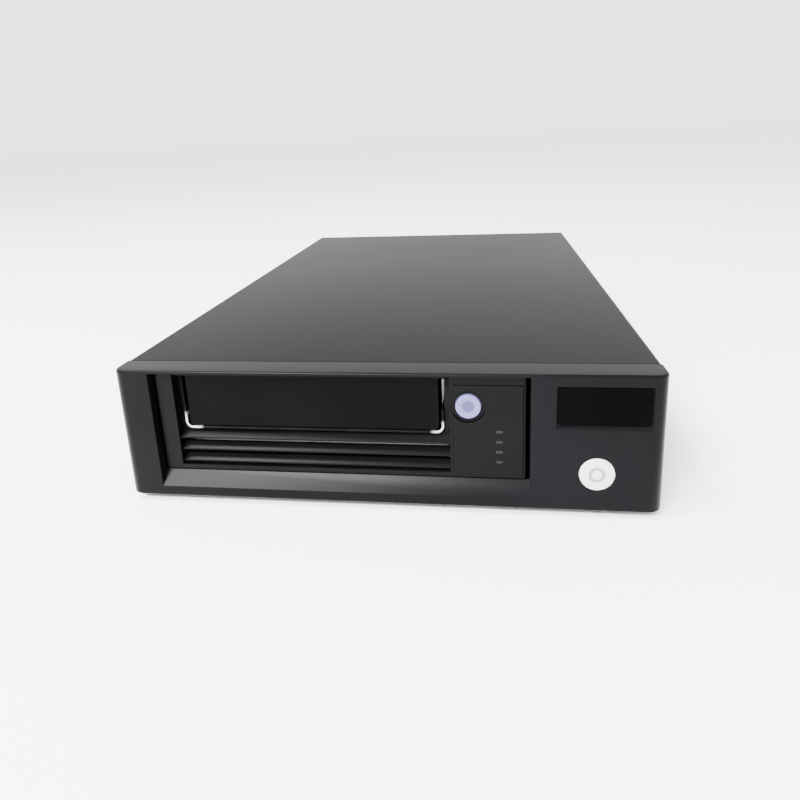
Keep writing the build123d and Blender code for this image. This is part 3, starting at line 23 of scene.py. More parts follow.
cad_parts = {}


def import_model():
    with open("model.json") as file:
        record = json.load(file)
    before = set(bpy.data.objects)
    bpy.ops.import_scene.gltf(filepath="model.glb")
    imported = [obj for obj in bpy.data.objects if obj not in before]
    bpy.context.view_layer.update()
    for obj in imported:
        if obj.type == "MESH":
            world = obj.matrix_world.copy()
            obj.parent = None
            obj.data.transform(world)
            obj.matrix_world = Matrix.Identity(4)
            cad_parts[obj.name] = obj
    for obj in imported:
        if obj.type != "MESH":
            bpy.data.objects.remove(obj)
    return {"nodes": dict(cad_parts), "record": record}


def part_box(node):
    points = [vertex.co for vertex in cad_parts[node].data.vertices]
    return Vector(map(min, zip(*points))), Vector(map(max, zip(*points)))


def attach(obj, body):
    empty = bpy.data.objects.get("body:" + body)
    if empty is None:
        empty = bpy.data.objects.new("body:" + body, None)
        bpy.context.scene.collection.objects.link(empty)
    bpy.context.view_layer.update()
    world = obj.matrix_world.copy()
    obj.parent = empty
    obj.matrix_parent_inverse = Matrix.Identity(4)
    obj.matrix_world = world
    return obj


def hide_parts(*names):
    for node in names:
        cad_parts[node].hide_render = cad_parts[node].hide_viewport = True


LOG = logging.getLogger("tape_drive")
MM = 0.001
TURN = 2 * math.pi
TURNED_SHARP = 38.0  # degrees; an edge of a remade surface that turns by more stays sharp
HOUSING_SHARP = 35.0  # degrees; an edge of a packed housing that turns by more is eased
SHANK = 1.45 * MM  # radius of the case's screws
EASED_EDGES: dict[str, float] = {  # width of each remade housing's eased edges, in millimetres
    "top_cover": 0.25, "base_chassis": 0.12, "front_bezel": 0.18, "badge_plate": 0.12,
    "mech_face": 0.16, "tape_door": 0.2, "entry_guide": 0.15, "light_pipes": 0.12,
    "fan_frame": 0.2, "mains_inlet": 0.25, "data_sockets": 0.1,
}
Colour = tuple[float, float, float]
Place = tuple[float, float, float]  # x, y and z
Corner = tuple[float, float, float]  # an outline's radius, height and rounding


class Sock:
    """A shader value that Python's arithmetic works on: each operation adds a Math node."""

    def __init__(self, shade: Shade, socket: bpy.types.NodeSocket) -> None:
        """Wraps an output socket of a shade's node tree."""
        self.shade = shade
        self.socket = socket

    def math(self, operation: str, *others: Sock | float) -> Sock:
        """Returns a Math node's result, with this value as its first operand."""
        return self.shade.math(operation, self, *others)

    def __add__(self, other: Sock | float) -> Sock:
        """Returns the sum."""
        return self.math("ADD", other)

    __radd__ = __add__

    def __sub__(self, other: Sock | float) -> Sock:
        """Returns the difference."""
        return self.math("SUBTRACT", other)

    def __rsub__(self, other: float) -> Sock:
        """Returns a number minus this value."""
        return self.shade.math("SUBTRACT", other, self)

    def __mul__(self, other: Sock | float) -> Sock:
        """Returns the product."""
        return self.math("MULTIPLY", other)

    __rmul__ = __mul__

    def __pow__(self, other: float) -> Sock:
        """Returns the power."""
        return self.math("POWER", other)

    def step(self, low: float, high: float) -> Sock:
        """Returns a smooth step from 0 at low to 1 at high."""
        return self.shade.add(
            "ShaderNodeMapRange",
            {"interpolation_type": "SMOOTHSTEP"},
            {"Value": self, "From Min": low, "From Max": high},
        )


class Shade:
    """One material's node tree, grown node by node."""

    def __init__(self, name: str) -> None:
        """Starts an empty material."""
        self.material = bpy.data.materials.new(name)
        self.material.use_nodes = True
        self.tree = self.material.node_tree
        self.tree.nodes.clear()
        self.place = self.add("ShaderNodeTexCoord", output="Object")

    def add(
        self,
        kind: str,
        settings: dict[str, object] | None = None,
        inputs: dict[str | int, object] | None = None,
        output: str | int = 0,
    ) -> Sock:
        """Adds one node.

        Args:
            kind: The node's type.
            settings: Its properties, set before its sockets.
            inputs: A value or a link for each socket, by name or index.
            output: The output that is returned.

        Returns:
            The chosen output.
        """
        node = self.tree.nodes.new(kind)
        for key, value in (settings or {}).items():
            setattr(node, key, value)
        for key, value in (inputs or {}).items():
            if isinstance(value, Sock):
                self.tree.links.new(value.socket, node.inputs[key])
            else:
                node.inputs[key].default_value = value
        return Sock(self, node.outputs[output])

    def math(self, operation: str, *operands: Sock | float) -> Sock:
        """Adds a Math node on the operands and returns its result."""
        return self.add("ShaderNodeMath", {"operation": operation}, dict(enumerate(operands)))

    def blend(self, factor: Sock, low: Colour | Sock, high: Colour | Sock) -> Sock:
        """Returns a colour between two, by a factor from 0 to 1."""
        ends = {
            key: value if isinstance(value, Sock) else (*value, 1.0)
            for key, value in ((6, low), (7, high))
        }
        return self.add("ShaderNodeMix", {"data_type": "RGBA"}, {0: factor, **ends}, output=2)

    def noise(self, size: float, detail: float = 2.0, place: Sock | None = None) -> Sock:
        """Returns fractal noise from 0 to 1 whose lumps are about size metres across."""
        return self.add(
            "ShaderNodeTexNoise",
            None,
            {"Vector": place or self.place, "Scale": 1 / size, "Detail": detail},
        )

    def cells(self, size: float) -> Sock:
        """Returns the distance to the nearest of a field of points about size metres apart."""
        return self.add("ShaderNodeTexVoronoi", None, {"Vector": self.place, "Scale": 1 / size})

    def stretched(self, scale: Sequence[float]) -> Sock:
        """Returns the place with each axis multiplied, which draws a pattern out along an axis."""
        return self.add("ShaderNodeMapping", None, {"Vector": self.place, "Scale": tuple(scale)})

    def axis(self, name: str) -> Sock:
        """Returns one coordinate of the place, in metres."""
        return self.add("ShaderNodeSeparateXYZ", None, {0: self.place}, output=name)

    def radius_about(self, x: float, z: float) -> Sock:
        """Returns the distance from an axis that runs from front to rear through (x, z)."""
        across = (self.axis("X") - x) ** 2
        along = (self.axis("Z") - z) ** 2
        return (across + along).math("SQRT")

    def finish(self, relief: Sock, depth: float, **inputs: object) -> bpy.types.Material:
        """Adds the surface and the output.

        Args:
            relief: Height from 0 to 1 for the bump.
            depth: The height in metres that 1 stands for.
            **inputs: Principled inputs, with underscores for spaces.

        Returns:
            The finished material.
        """
        sockets = {key.replace("_", " "): value for key, value in inputs.items()}
        sockets["Normal"] = self.add(
            "ShaderNodeBump", None, {"Height": relief, "Distance": depth, "Strength": 1.0}
        )
        surface = self.add("ShaderNodeBsdfPrincipled", None, sockets)
        output = self.tree.nodes.new("ShaderNodeOutputMaterial")
        self.tree.links.new(surface.socket, output.inputs["Surface"])
        return self.material


class Grain(Enum):
    """How a surface was made, which decides its relief."""

    SPARKED = "moulded against a spark-eroded tool"
    COATED = "powder coated"
    ROLLED_X = "rolled or brushed from side to side"
    ROLLED_Y = "rolled or brushed from front to rear"
    ROLLED_Z = "drawn upwards"
    CAST = "die cast and blasted"
    SMOOTH = "polished tool or turned"
    BOARD = "printed board with raised tracks"


@dataclass(frozen=True)
class Finish:
    """A surface finish: two close colours in broad patches, a grain and a varying gloss.

    Attributes:
        name: The material's name.
        colour: Base colour.
        worn: The colour of handled or dusty patches.
        roughness: Mean roughness.
        metallic: 1 for bare metal.
        grain: How the surface was made.
        size: Width of the grain, in millimetres.
        depth: Height of the grain, in millimetres.
        patch: Width of the broad patches, in millimetres.
        spread: How far the roughness varies over the patches.
        coat: Clear coat weight.
        specular: How much of the light that falls on it a non-metal mirrors; 0.5 is plain plastic.
    """

    name: str
    colour: Colour
    worn: Colour
    roughness: float
    metallic: float = 0.0
    grain: Grain = Grain.SMOOTH
    size: float = 0.45
    depth: float = 0.02
    patch: float = 45
    spread: float = 0.1
    coat: float = 0.0
    specular: float = 0.3

    def relief(self, shade: Shade) -> Sock:
        """Returns the height of the grain, from 0 to 1."""
        size = self.size * MM
        if self.grain is Grain.SPARKED:
            return shade.noise(size, 3.0) * 0.7 + shade.cells(size * 1.6) * 0.5
        if self.grain is Grain.COATED:
            return shade.noise(size, 1.0) * 0.8 + shade.noise(size * 0.3, 2.0) * 0.2
        if self.grain is Grain.CAST:
            return shade.noise(size, 5.0)
        if self.grain is Grain.BOARD:
            return self.tracks(shade)
        long, fine = 0.03, 1.0
        scale = {
            Grain.ROLLED_X: (long, fine, fine),
            Grain.ROLLED_Y: (fine, long, fine),
            Grain.ROLLED_Z: (fine, fine, long),
            Grain.SMOOTH: (fine, fine, fine),
        }[self.grain]
        return shade.noise(size, 3.0, shade.stretched(scale))

    def tracks(self, shade: Shade) -> Sock:
        """Returns bands of parallel tracks that bend where a broad noise pushes them."""
        bend, shift, pitch = 18 * MM, 6 * MM, 1.6 * MM
        push = shade.noise(bend, 0.0) * shift
        lines = ((shade.axis("X") + push) * (TURN / pitch)).math("SINE")
        return lines.step(0.1, 0.4)

    def colouring(self, shade: Shade, patches: Sock) -> Sock:
        """Returns the base colour over the surface."""
        return shade.blend(patches, self.colour, self.worn)

    def metal(self, shade: Shade) -> Sock | float:
        """Returns how metallic the surface is."""
        return self.metallic

    def material(self) -> bpy.types.Material:
        """Returns the finish as a node material, made once and then shared."""
        made = bpy.data.materials.get(self.name)
        if made is not None:
            return made
        shade = Shade(self.name)
        cloud = shade.noise(self.patch * MM, 4.0)
        return shade.finish(
            self.relief(shade),
            self.depth * MM,
            Base_Color=self.colouring(shade, cloud.step(0.35, 0.7)),
            Roughness=(cloud - 0.5) * self.spread + self.roughness,
            Metallic=self.metal(shade),
            Coat_Weight=self.coat,
            Specular_IOR_Level=self.specular,
        )


@dataclass(frozen=True)
class PrintedBoard(Finish):
    """A printed board, whose tracks show lighter through the solder mask."""

    track: Colour = (0.03, 0.16, 0.07)

    def colouring(self, shade: Shade, patches: Sock) -> Sock:
        """Returns the mask's colour, with the tracks over it."""
        return shade.blend(self.tracks(shade), super().colouring(shade, patches), self.track)


@dataclass(frozen=True)
class RingedCap(Finish):
    """A round cap that faces forward, whose colour changes at a distance from its middle.

    Attributes:
        middle: The cap's middle, (x, z) in metres.
        inner: Radius where the tint begins; less than 0 tints the middle too.
        outer: Radius where the tint ends.
        tint: The colour between the two.
    """

    middle: tuple[float, float] = (0.0, 0.0)
    inner: float = 0.0
    outer: float = 0.0
    tint: Colour = (0.5, 0.5, 0.5)

    def colouring(self, shade: Shade, patches: Sock) -> Sock:
        """Returns the cap's colour, tinted between the two radii."""
        soft = 0.35 * MM
        reach = shade.radius_about(*self.middle)
        ring = reach.step(self.inner - soft, self.inner + soft) * (
            1.0 - reach.step(self.outer - soft, self.outer + soft)
        )
        return shade.blend(ring, super().colouring(shade, patches), self.tint)


@dataclass(frozen=True)
class GlintedShadeEdge(Finish):
    """A sheet edge that faces forward, painted dark as shade in the slot's gap, with painted
    glints of bright metal near two corners.

    Attributes:
        glint_spots: (x, z, reach) of each painted glint at a corner, in metres.
        bright: The painted glints' colour, that of bright metal.
    """

    glint_spots: tuple[tuple[float, float, float], ...] = ()
    bright: Colour = (0.40, 0.40, 0.395)

    def metal(self, shade: Shade) -> Sock:
        """Returns 1 at the painted glints near the corners, shown as metal, and 0 elsewhere."""
        soft = 1.6 * MM
        left, right = (
            1.0 - shade.radius_about(x, z).step(reach - soft, reach + soft)
            for x, z, reach in self.glint_spots
        )
        return left + right

    def colouring(self, shade: Shade, patches: Sock) -> Sock:
        """Returns the dark colour painted as shade, with the painted glints near the corners."""
        return shade.blend(self.metal(shade), super().colouring(shade, patches), self.bright)


CAP_GRAIN = {"size": 0.5, "depth": 0.002, "patch": 5}
DOOR_MOULDING = Finish(
    "door_black_moulding", (0.0006, 0.0006, 0.0008), (0.0010, 0.0010, 0.0012), 0.34,
    size=0.5, depth=0.003, patch=30, specular=0.025,
)
SLOT_FINISHES: dict[str, Finish] = {
    "cover_paint": Finish(
        "charcoal_powder_coat", (0.003, 0.003, 0.003), (0.0045, 0.0045, 0.0045), 0.34,
        grain=Grain.COATED, size=0.9, depth=0.02, patch=120, spread=0.08,
        specular=0.014,
    ),
    "zinc_sheet": Finish(
        "zinc_plated_sheet", (0.20, 0.205, 0.20), (0.25, 0.25, 0.24), 0.38, 1.0,
        grain=Grain.ROLLED_Y, size=0.7, depth=0.008, patch=25, spread=0.2,
    ),
    "bezel_moulding": Finish(
        "bezel_black_moulding", (0.0018, 0.0018, 0.0022), (0.0028, 0.0028, 0.0034), 0.30,
        grain=Grain.SPARKED, size=0.4, depth=0.010, patch=60, specular=0.04,
    ),
    "badge_blank": Finish(
        "blank_badge_satin", (0.0003, 0.0003, 0.0004), (0.0006, 0.0006, 0.0007), 0.30,
        size=0.6, depth=0.002, patch=18, specular=0.012,
    ),
    "face_moulding": Finish(
        "face_black_moulding", (0.0010, 0.0010, 0.0012), (0.0016, 0.0016, 0.0017), 0.33,
        grain=Grain.SPARKED, size=0.35, depth=0.010, patch=40, specular=0.05,
    ),
    "smoke_lens": Finish(
        "smoked_light_pipe", (0.004, 0.006, 0.005), (0.006, 0.008, 0.007), 0.2,
        size=0.4, depth=0.001, patch=4, specular=0.12,
    ),
    "rubber": Finish(
        "foot_rubber", (0.006, 0.006, 0.006), (0.012, 0.012, 0.011), 0.78,
        grain=Grain.CAST, size=0.8, depth=0.02, patch=6, specular=0.1,
    ),
    "screw_steel": Finish(
        "screw_zinc", (0.36, 0.36, 0.35), (0.28, 0.28, 0.27), 0.34, 1.0,
        size=0.3, depth=0.004, patch=3, spread=0.2,
    ),
    "black_screw": Finish(
        "screw_black_oxide", (0.008, 0.008, 0.009), (0.016, 0.016, 0.016), 0.38, 0.5,
        size=0.3, depth=0.004, patch=3, spread=0.2,
    ),
    "bright_steel": Finish(
        "bright_rolled_steel", (0.50, 0.50, 0.49), (0.44, 0.44, 0.43), 0.22, 1.0,
        grain=Grain.ROLLED_Y, size=0.4, depth=0.004, patch=12,
    ),
    "fan_moulding": Finish(
        "fan_glass_filled", (0.004, 0.004, 0.0045), (0.007, 0.007, 0.0075), 0.5,
        grain=Grain.SPARKED, size=0.5, depth=0.02, patch=9, specular=0.1,
    ),
    "inlet_moulding": Finish(
        "inlet_thermoplastic", (0.003, 0.003, 0.003), (0.005, 0.005, 0.005), 0.3,
        size=0.6, depth=0.004, patch=12, specular=0.1,
    ),
    # Cast alloy, darkened as painted shade for the drive's dark inside
    "deck_alloy": Finish(
        "deck_cast_alloy_painted_shade", (0.10, 0.10, 0.105), (0.14, 0.14, 0.145), 0.55, 1.0,
        grain=Grain.CAST, size=0.9, depth=0.03, patch=30,
    ),
    "lid_sheet": Finish(
        "lid_bright_zinc", (0.30, 0.305, 0.30), (0.35, 0.35, 0.33), 0.3, 1.0,
        grain=Grain.ROLLED_X, size=0.6, depth=0.006, patch=20, spread=0.2,
    ),
    "gear_acetal": Finish(
        "natural_acetal", (0.74, 0.72, 0.66), (0.68, 0.66, 0.58), 0.36,
        size=0.5, depth=0.003, patch=8,
    ),
    "black_acetal": Finish(
        "black_acetal", (0.020, 0.020, 0.021), (0.030, 0.030, 0.031), 0.33,
        size=0.6, depth=0.003, patch=15,
    ),
    "circuit_board": PrintedBoard(
        "solder_mask", (0.012, 0.085, 0.035), (0.016, 0.10, 0.04), 0.32,
        grain=Grain.BOARD, depth=0.03, patch=25, coat=0.3,
    ),
    "chip_epoxy": Finish(
        "chip_epoxy", (0.018, 0.018, 0.018), (0.026, 0.026, 0.026), 0.55,
        grain=Grain.CAST, size=0.3, depth=0.01, patch=6,
    ),
    "motor_can": Finish(
        "plated_motor_can", (0.52, 0.52, 0.52), (0.60, 0.60, 0.58), 0.3, 1.0,
        grain=Grain.ROLLED_Z, size=0.4, depth=0.004, patch=8,
    ),
    "roller_alloy": Finish(
        "turned_alloy", (0.70, 0.71, 0.72), (0.62, 0.63, 0.64), 0.2, 1.0,
        grain=Grain.ROLLED_X, size=0.25, depth=0.002, patch=4,
    ),
    "socket_shell": Finish(
        "nickel_socket_shell", (0.36, 0.355, 0.335), (0.42, 0.41, 0.385), 0.28, 1.0,
        grain=Grain.ROLLED_Y, size=0.4, depth=0.004, patch=6,
    ),
    "blade_plating": Finish(
        "nickel_blade", (0.66, 0.63, 0.56), (0.58, 0.55, 0.46), 0.25, 1.0,
        grain=Grain.ROLLED_Y, size=0.3, depth=0.003, patch=3,
    ),
    "winding": Finish(
        "winding_tape", (0.62, 0.45, 0.08), (0.54, 0.38, 0.07), 0.4,
        grain=Grain.ROLLED_X, size=1.5, depth=0.05, patch=6,
    ),
    "capacitor_sleeve": Finish(
        "shrink_sleeve", (0.020, 0.024, 0.045), (0.028, 0.032, 0.055), 0.28,
        size=1.0, depth=0.01, patch=6, coat=0.3,
    ),
    "heat_sink_alloy": Finish(
        "extruded_alloy", (0.48, 0.49, 0.50), (0.42, 0.43, 0.44), 0.42, 1.0,
        grain=Grain.ROLLED_Z, size=0.5, depth=0.01, patch=10,
    ),
    "nickel_post": Finish(
        "nickel_post", (0.64, 0.61, 0.54), (0.58, 0.55, 0.48), 0.3, 1.0,
        size=0.3, depth=0.002, patch=4,
    ),
}


@dataclass
class Skin:
    """The points and quads of one piece, gathered from grids."""

    points: list[np.ndarray] = field(default_factory=list)
    quads: list[np.ndarray] = field(default_factory=list)
    count: int = 0

    def grid(self, points: np.ndarray, ring_rows: bool = False, ring_columns: bool = True) -> Skin:
        """Adds a grid of points as quads.

        Args:
            points: Rows by columns by three coordinates.
            ring_rows: True if the last row joins the first.
            ring_columns: True if the last column joins the first.

        Returns:
            This skin, so that calls can be chained.
        """
        rows, columns = points.shape[:2]
        index = np.arange(rows * columns).reshape(rows, columns) + self.count
        if ring_rows:
            index = np.vstack([index, index[:1]])
        if ring_columns:
            index = np.hstack([index, index[:, :1]])
        corners = (index[:-1, :-1], index[1:, :-1], index[1:, 1:], index[:-1, 1:])
        self.points.append(points.reshape(-1, 3))
        self.quads.append(np.stack(corners, axis=-1).reshape(-1, 4))
        self.count += rows * columns
        return self

    def build(self, name: str) -> bpy.types.Object:
        """Makes the mesh, with coincident points merged so that seams and poles close.

        A quad that has lost a corner to the merge becomes a triangle, and one that has lost two is
        left out. Its faces are turned outwards.

        Args:
            name: The piece's name.

        Returns:
            The new object, at the origin.
        """
        steps_per_metre = 1e7
        points = np.concatenate(self.points)
        keys = np.round(points * steps_per_metre).astype(np.int64)
        _, first, inverse = np.unique(keys, axis=0, return_index=True, return_inverse=True)
        quads = inverse.ravel()[np.concatenate(self.quads)]
        kept = quads != np.roll(quads, 1, axis=1)
        kept &= (kept.sum(axis=1) >= 3)[:, None]
        sizes = kept.sum(axis=1)
        sizes = sizes[sizes > 0]
        loops = quads[kept].astype(np.int32)
        mesh = bpy.data.meshes.new(name)
        mesh.vertices.add(len(first))
        mesh.vertices.foreach_set("co", points[first].astype(np.float32).ravel())
        mesh.loops.add(len(loops))
        mesh.loops.foreach_set("vertex_index", loops)
        mesh.polygons.add(len(sizes))
        mesh.polygons.foreach_set("loop_start", (np.cumsum(sizes) - sizes).astype(np.int32))
        mesh.update(calc_edges=True)
        mesh.validate()
        with opened(mesh) as work:
            bmesh.ops.recalc_face_normals(work, faces=work.faces)
        return placed(name, mesh, TURNED_SHARP)


@contextmanager
def opened(mesh: bpy.types.Mesh) -> Iterator[bmesh.types.BMesh]:
    """Opens a mesh for editing, and writes it back at the end."""
    work = bmesh.new()
    work.from_mesh(mesh)
    yield work
    work.to_mesh(mesh)
    work.free()


def placed(name: str, mesh: bpy.types.Mesh, sharp: float) -> bpy.types.Object:
    """Smooths a mesh but for its sharp edges, and puts it in the scene.

    Args:
        name: The piece's name.
        mesh: Its mesh.
        sharp: Edges that turn by more than this many degrees stay sharp.

    Returns:
        The new object, at the origin.
    """
    mesh.polygons.foreach_set("use_smooth", np.ones(len(mesh.polygons), dtype=bool))
    mesh.set_sharp_from_angle(angle=math.radians(sharp))
    piece = bpy.data.objects.new(name, mesh)
    bpy.context.scene.collection.objects.link(piece)
    return piece


def rounded(corners: Sequence[Corner], steps: int = 5) -> np.ndarray:
    """Rounds the corners of an open outline.

    At each inner corner an arc of radius r is tangent to both sides: it starts r / tan(half the
    corner's angle) back from the corner, and its centre lies on the bisector. A side that is too
    short for it gets a smaller arc, and a corner that hardly turns gets none.

    Args:
        corners: (radius, height, rounding) of each corner, in metres.
        steps: Points along each arc.

    Returns:
        The outline's points, one row each.
    """
    nearly_straight, side_share = math.radians(89), 0.49
    points = np.array([corner[:2] for corner in corners])
    outline = [points[:1]]
    for index in range(1, len(corners) - 1):
        here, turn = points[index], corners[index][2]
        back = points[index - 1] - here
        ahead = points[index + 1] - here
        back_length, ahead_length = np.linalg.norm(back), np.linalg.norm(ahead)
        back, ahead = back / back_length, ahead / ahead_length
        half = math.acos(float(np.clip(back @ ahead, -1, 1))) / 2
        if turn <= 0 or half > nearly_straight:
            outline.append(here[None])
            continue
        reach = min(turn / math.tan(half), side_share * back_length, side_share * ahead_length)
        turn = reach * math.tan(half)
        bisector = (back + ahead) / np.linalg.norm(back + ahead)
        centre = here + bisector * turn / math.sin(half)
        start, end = here + back * reach - centre, here + ahead * reach - centre
        share = np.linspace(0, 1, steps)[:, None]
        arc = start * (1 - share) + end * share
        outline.append(centre + arc / np.linalg.norm(arc, axis=1, keepdims=True) * turn)
    outline.append(points[-1:])
    return np.concatenate(outline)


def across(axis: np.ndarray) -> tuple[np.ndarray, np.ndarray]:
    """Returns two unit vectors square to an axis and to each other."""
    helper = np.array([0.0, 0.0, 1.0]) if abs(axis[2]) < 0.9 else np.array([1.0, 0.0, 0.0])
    first = np.cross(helper, axis)
    first /= np.linalg.norm(first)
    return first, np.cross(axis, first)


def turned(
    radius: np.ndarray, height: np.ndarray, centre: Sequence[float], axis: Sequence[float],
    sides: int = 64,
) -> np.ndarray:
    """Turns an outline about an axis.

    A point is centre + radius * (cos t * u + sin t * v) + height * axis, where u and v are square
    to the axis and t runs once round.

    Args:
        radius: Radius of each row.
        height: Height of each row, or of each row and column.
        centre: A point on the axis.
        axis: Unit vector of the axis.
        sides: Columns round the axis.

    Returns:
        The grid of points.
    """
    axis = np.asarray(axis, float)
    first, second = across(axis)
    angle = np.linspace(0, TURN, sides, endpoint=False)
    ray = np.cos(angle)[:, None] * first + np.sin(angle)[:, None] * second
    heights = height if height.ndim == 2 else np.repeat(height[:, None], sides, axis=1)
    return np.asarray(centre) + radius[:, None, None] * ray + heights[..., None] * axis


def tube(
    path: np.ndarray, radius: float, normal: Sequence[float], ring: bool, sides: int = 12
) -> np.ndarray:
    """Carries a round section along a flat path.

    A point is path + radius * (cos t * n + sin t * b), where n is the path's plane normal and b
    is square to n and to the path. An open tube is closed by a last row of no radius at each end.

    Args:
        path: The path's points, one row each.
        radius: The section's radius.
        normal: Unit normal of the path's plane.
        ring: True if the path closes on itself.
        sides: Columns round the section.

    Returns:
        The grid of points.
    """
    normal = np.asarray(normal, float)
    if ring:
        along = np.roll(path, -1, axis=0) - np.roll(path, 1, axis=0)
    else:
        along = np.gradient(path, axis=0)
    along /= np.linalg.norm(along, axis=1, keepdims=True)
    side = np.cross(along, normal)
    angle = np.linspace(0, TURN, sides, endpoint=False)
    lift = np.cos(angle)[None, :, None] * normal
    swing = np.sin(angle)[None, :, None] * side[:, None]
    body = path[:, None] + radius * (lift + swing)
    if ring:
        return body
    ends = [np.repeat(path[index][None, None], len(angle), axis=1) for index in (0, -1)]
    return np.concatenate([ends[0], body, ends[1]])


def cross_recess(radius: np.ndarray, angle: np.ndarray, reach: float, depth: float) -> np.ndarray:
    """Returns the depth of a cross-shaped driver recess over a screw's head.

    The depth falls from full to none over a short slope, at half the cross's arm width from its
    two centre lines and at its reach from the middle, and it is deepest in the middle.

    Args:
        radius: Distance from the head's middle, per row.
        angle: Angle of each column.
        reach: How far the arms go.
        depth: Full depth.

    Returns:
        Rows by columns of depth, in metres.
    """
    half_arm, slope, shallowing = 0.17 * reach, 0.16 * reach, 0.35
    offset = np.minimum(
        np.abs(radius[:, None] * np.sin(angle)), np.abs(radius[:, None] * np.cos(angle))
    )
    inside = np.clip((half_arm + slope - offset) / slope, 0, 1)
    within = np.clip((reach - radius[:, None]) / slope, 0, 1)
    return depth * inside * within * (1 - shallowing * radius[:, None] / reach)


class Frame:
    """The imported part, with each node's box, body and finish to hand."""

    def __init__(self) -> None:
        """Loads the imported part."""
        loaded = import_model()
        record = loaded["record"]
        self.nodes = loaded["nodes"]
        self.body_of = {
            node: body
            for body, members in record["behaviour"]["bodies"].items()
            for node in members
        }
        self.slot_of = {part["node"]: part["material_slot"] for part in record["subparts"]}
        self.remade: set[str] = set()

    def box(self, node: str) -> tuple[np.ndarray, np.ndarray]:
        """Returns a node's lowest and highest corners."""
        low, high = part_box(node)
        return np.array(low), np.array(high)

    def middle(self, node: str) -> np.ndarray:
        """Returns the middle of a node's box."""
        low, high = self.box(node)
        return (low + high) / 2

    def stand_in(self, piece: bpy.types.Object, node: str, finish: Finish | None = None) -> None:
        """Puts a new piece in place of a node.

        Args:
            piece: The new piece.
            node: The node that it stands for.
            finish: Its finish, if not that of the node's slot.
        """
        finish = finish or SLOT_FINISHES[self.slot_of[node]]
        piece.data.materials.clear()
        piece.data.materials.append(finish.material())
        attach(piece, self.body_of[node])
        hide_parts(node)
        self.remade.add(node)
        LOG.info("%s stands for %s in %s", piece.name, node, finish.name)

    def eased(self, node: str, finish: Finish | None = None) -> None:
        """Remakes a housing with its sharp edges eased, as a mould or a press leaves them.

        The node's triangles are merged into whole faces, and a bevel rounds each sharp edge.

        Args:
            node: The node to remake.
            finish: Its finish, if not that of the node's slot.
        """
        same_point, same_plane = 0.002 * MM, math.radians(0.4)
        mesh = self.nodes[node].data.copy()
        mesh.name = f"{node}_eased"
        with opened(mesh) as work:
            bmesh.ops.remove_doubles(work, verts=work.verts, dist=same_point)
            bmesh.ops.dissolve_limit(
                work, angle_limit=same_plane, verts=work.verts, edges=work.edges
            )
        piece = placed(mesh.name, mesh, HOUSING_SHARP)
        bevel = piece.modifiers.new("eased_edges", "BEVEL")
        bevel.width = EASED_EDGES[node] * MM
        bevel.segments = 2
        bevel.limit_method = "ANGLE"
        bevel.angle_limit = math.radians(HOUSING_SHARP)
        bevel.harden_normals = True
        self.stand_in(piece, node, finish)

    def dress_rest(self) -> None:
        """Gives each node that was not remade the finish of its slot."""
        for node, shape in self.nodes.items():
            if node in self.remade:
                continue
            finish = SLOT_FINISHES[self.slot_of[node]]
            for slot in shape.material_slots:
                slot.material = finish.material()
            LOG.info("%s keeps its shape, in %s", node, finish.name)


@dataclass
class Camera:
    """The photograph's camera, fitted to the drive's edges in the 800 pixel frame.

    Attributes:
        azimuth, elevation, roll: Degrees round the drive, down on to it and aslant.
        focal_pixels, image_pixels: Focal length and width, in pixels of the photo.
        optical_row: The row that the lens's axis meets, because the photo is cropped.
        sensor: Width of the sensor, in millimetres.
        place: The lens's middle.
        reach: The nearest and the farthest that it sees.
    """

    azimuth: float = 8.223
    elevation: float = 14.725
    roll: float = -2.521
    focal_pixels: float = 622.2
    image_pixels: float = 800.0
    optical_row: float = 300.0
    sensor: float = 36.0
    place: Place = (0.0420, -0.3798, 0.1433)
    reach: tuple[float, float] = (0.01, 200.0)

    def build(self) -> None:
        """Makes the camera and gives it to the scene."""
        data = bpy.data.cameras.new("photo_camera")
        data.sensor_width = self.sensor
        data.lens = self.focal_pixels / self.image_pixels * self.sensor
        data.shift_y = (self.optical_row - self.image_pixels / 2) / self.image_pixels
        data.clip_start, data.clip_end = self.reach
        turn, lift, roll = (math.radians(a) for a in (self.azimuth, self.elevation, self.roll))
        back = Vector(
            (math.sin(turn) * math.cos(lift), -math.cos(turn) * math.cos(lift), math.sin(lift))
        )
        level = Vector((math.cos(turn), math.sin(turn), 0))
        rise = back.cross(level)
        right = math.cos(roll) * level + math.sin(roll) * rise
        upward = math.cos(roll) * rise - math.sin(roll) * level
        camera = bpy.data.objects.new("photo_camera", data)
        pose = Matrix((right, upward, back)).transposed().to_4x4()
        pose.translation = Vector(self.place)
        camera.matrix_world = pose
        bpy.context.scene.collection.objects.link(camera)
        bpy.context.scene.camera = camera
        LOG.info("camera at %s with a %.1f mm lens", self.place, data.lens)


@dataclass(frozen=True)
class Lamp:
    """A soft rectangular light of so many watts, aimed at a point."""

    name: str
    place: Place
    aim: Place
    size: tuple[float, float]
    power: float

    def build(self) -> None:
        """Makes the light."""
        data = bpy.data.lights.new(self.name, "AREA")
        data.shape = "RECTANGLE"
        data.size, data.size_y = self.size
        data.energy = self.power
        lamp = bpy.data.objects.new(self.name, data)
        lamp.location = self.place
        way = Vector(self.aim) - Vector(self.place)
        lamp.rotation_euler = way.to_track_quat("-Z", "Y").to_euler()
        bpy.context.scene.collection.objects.link(lamp)


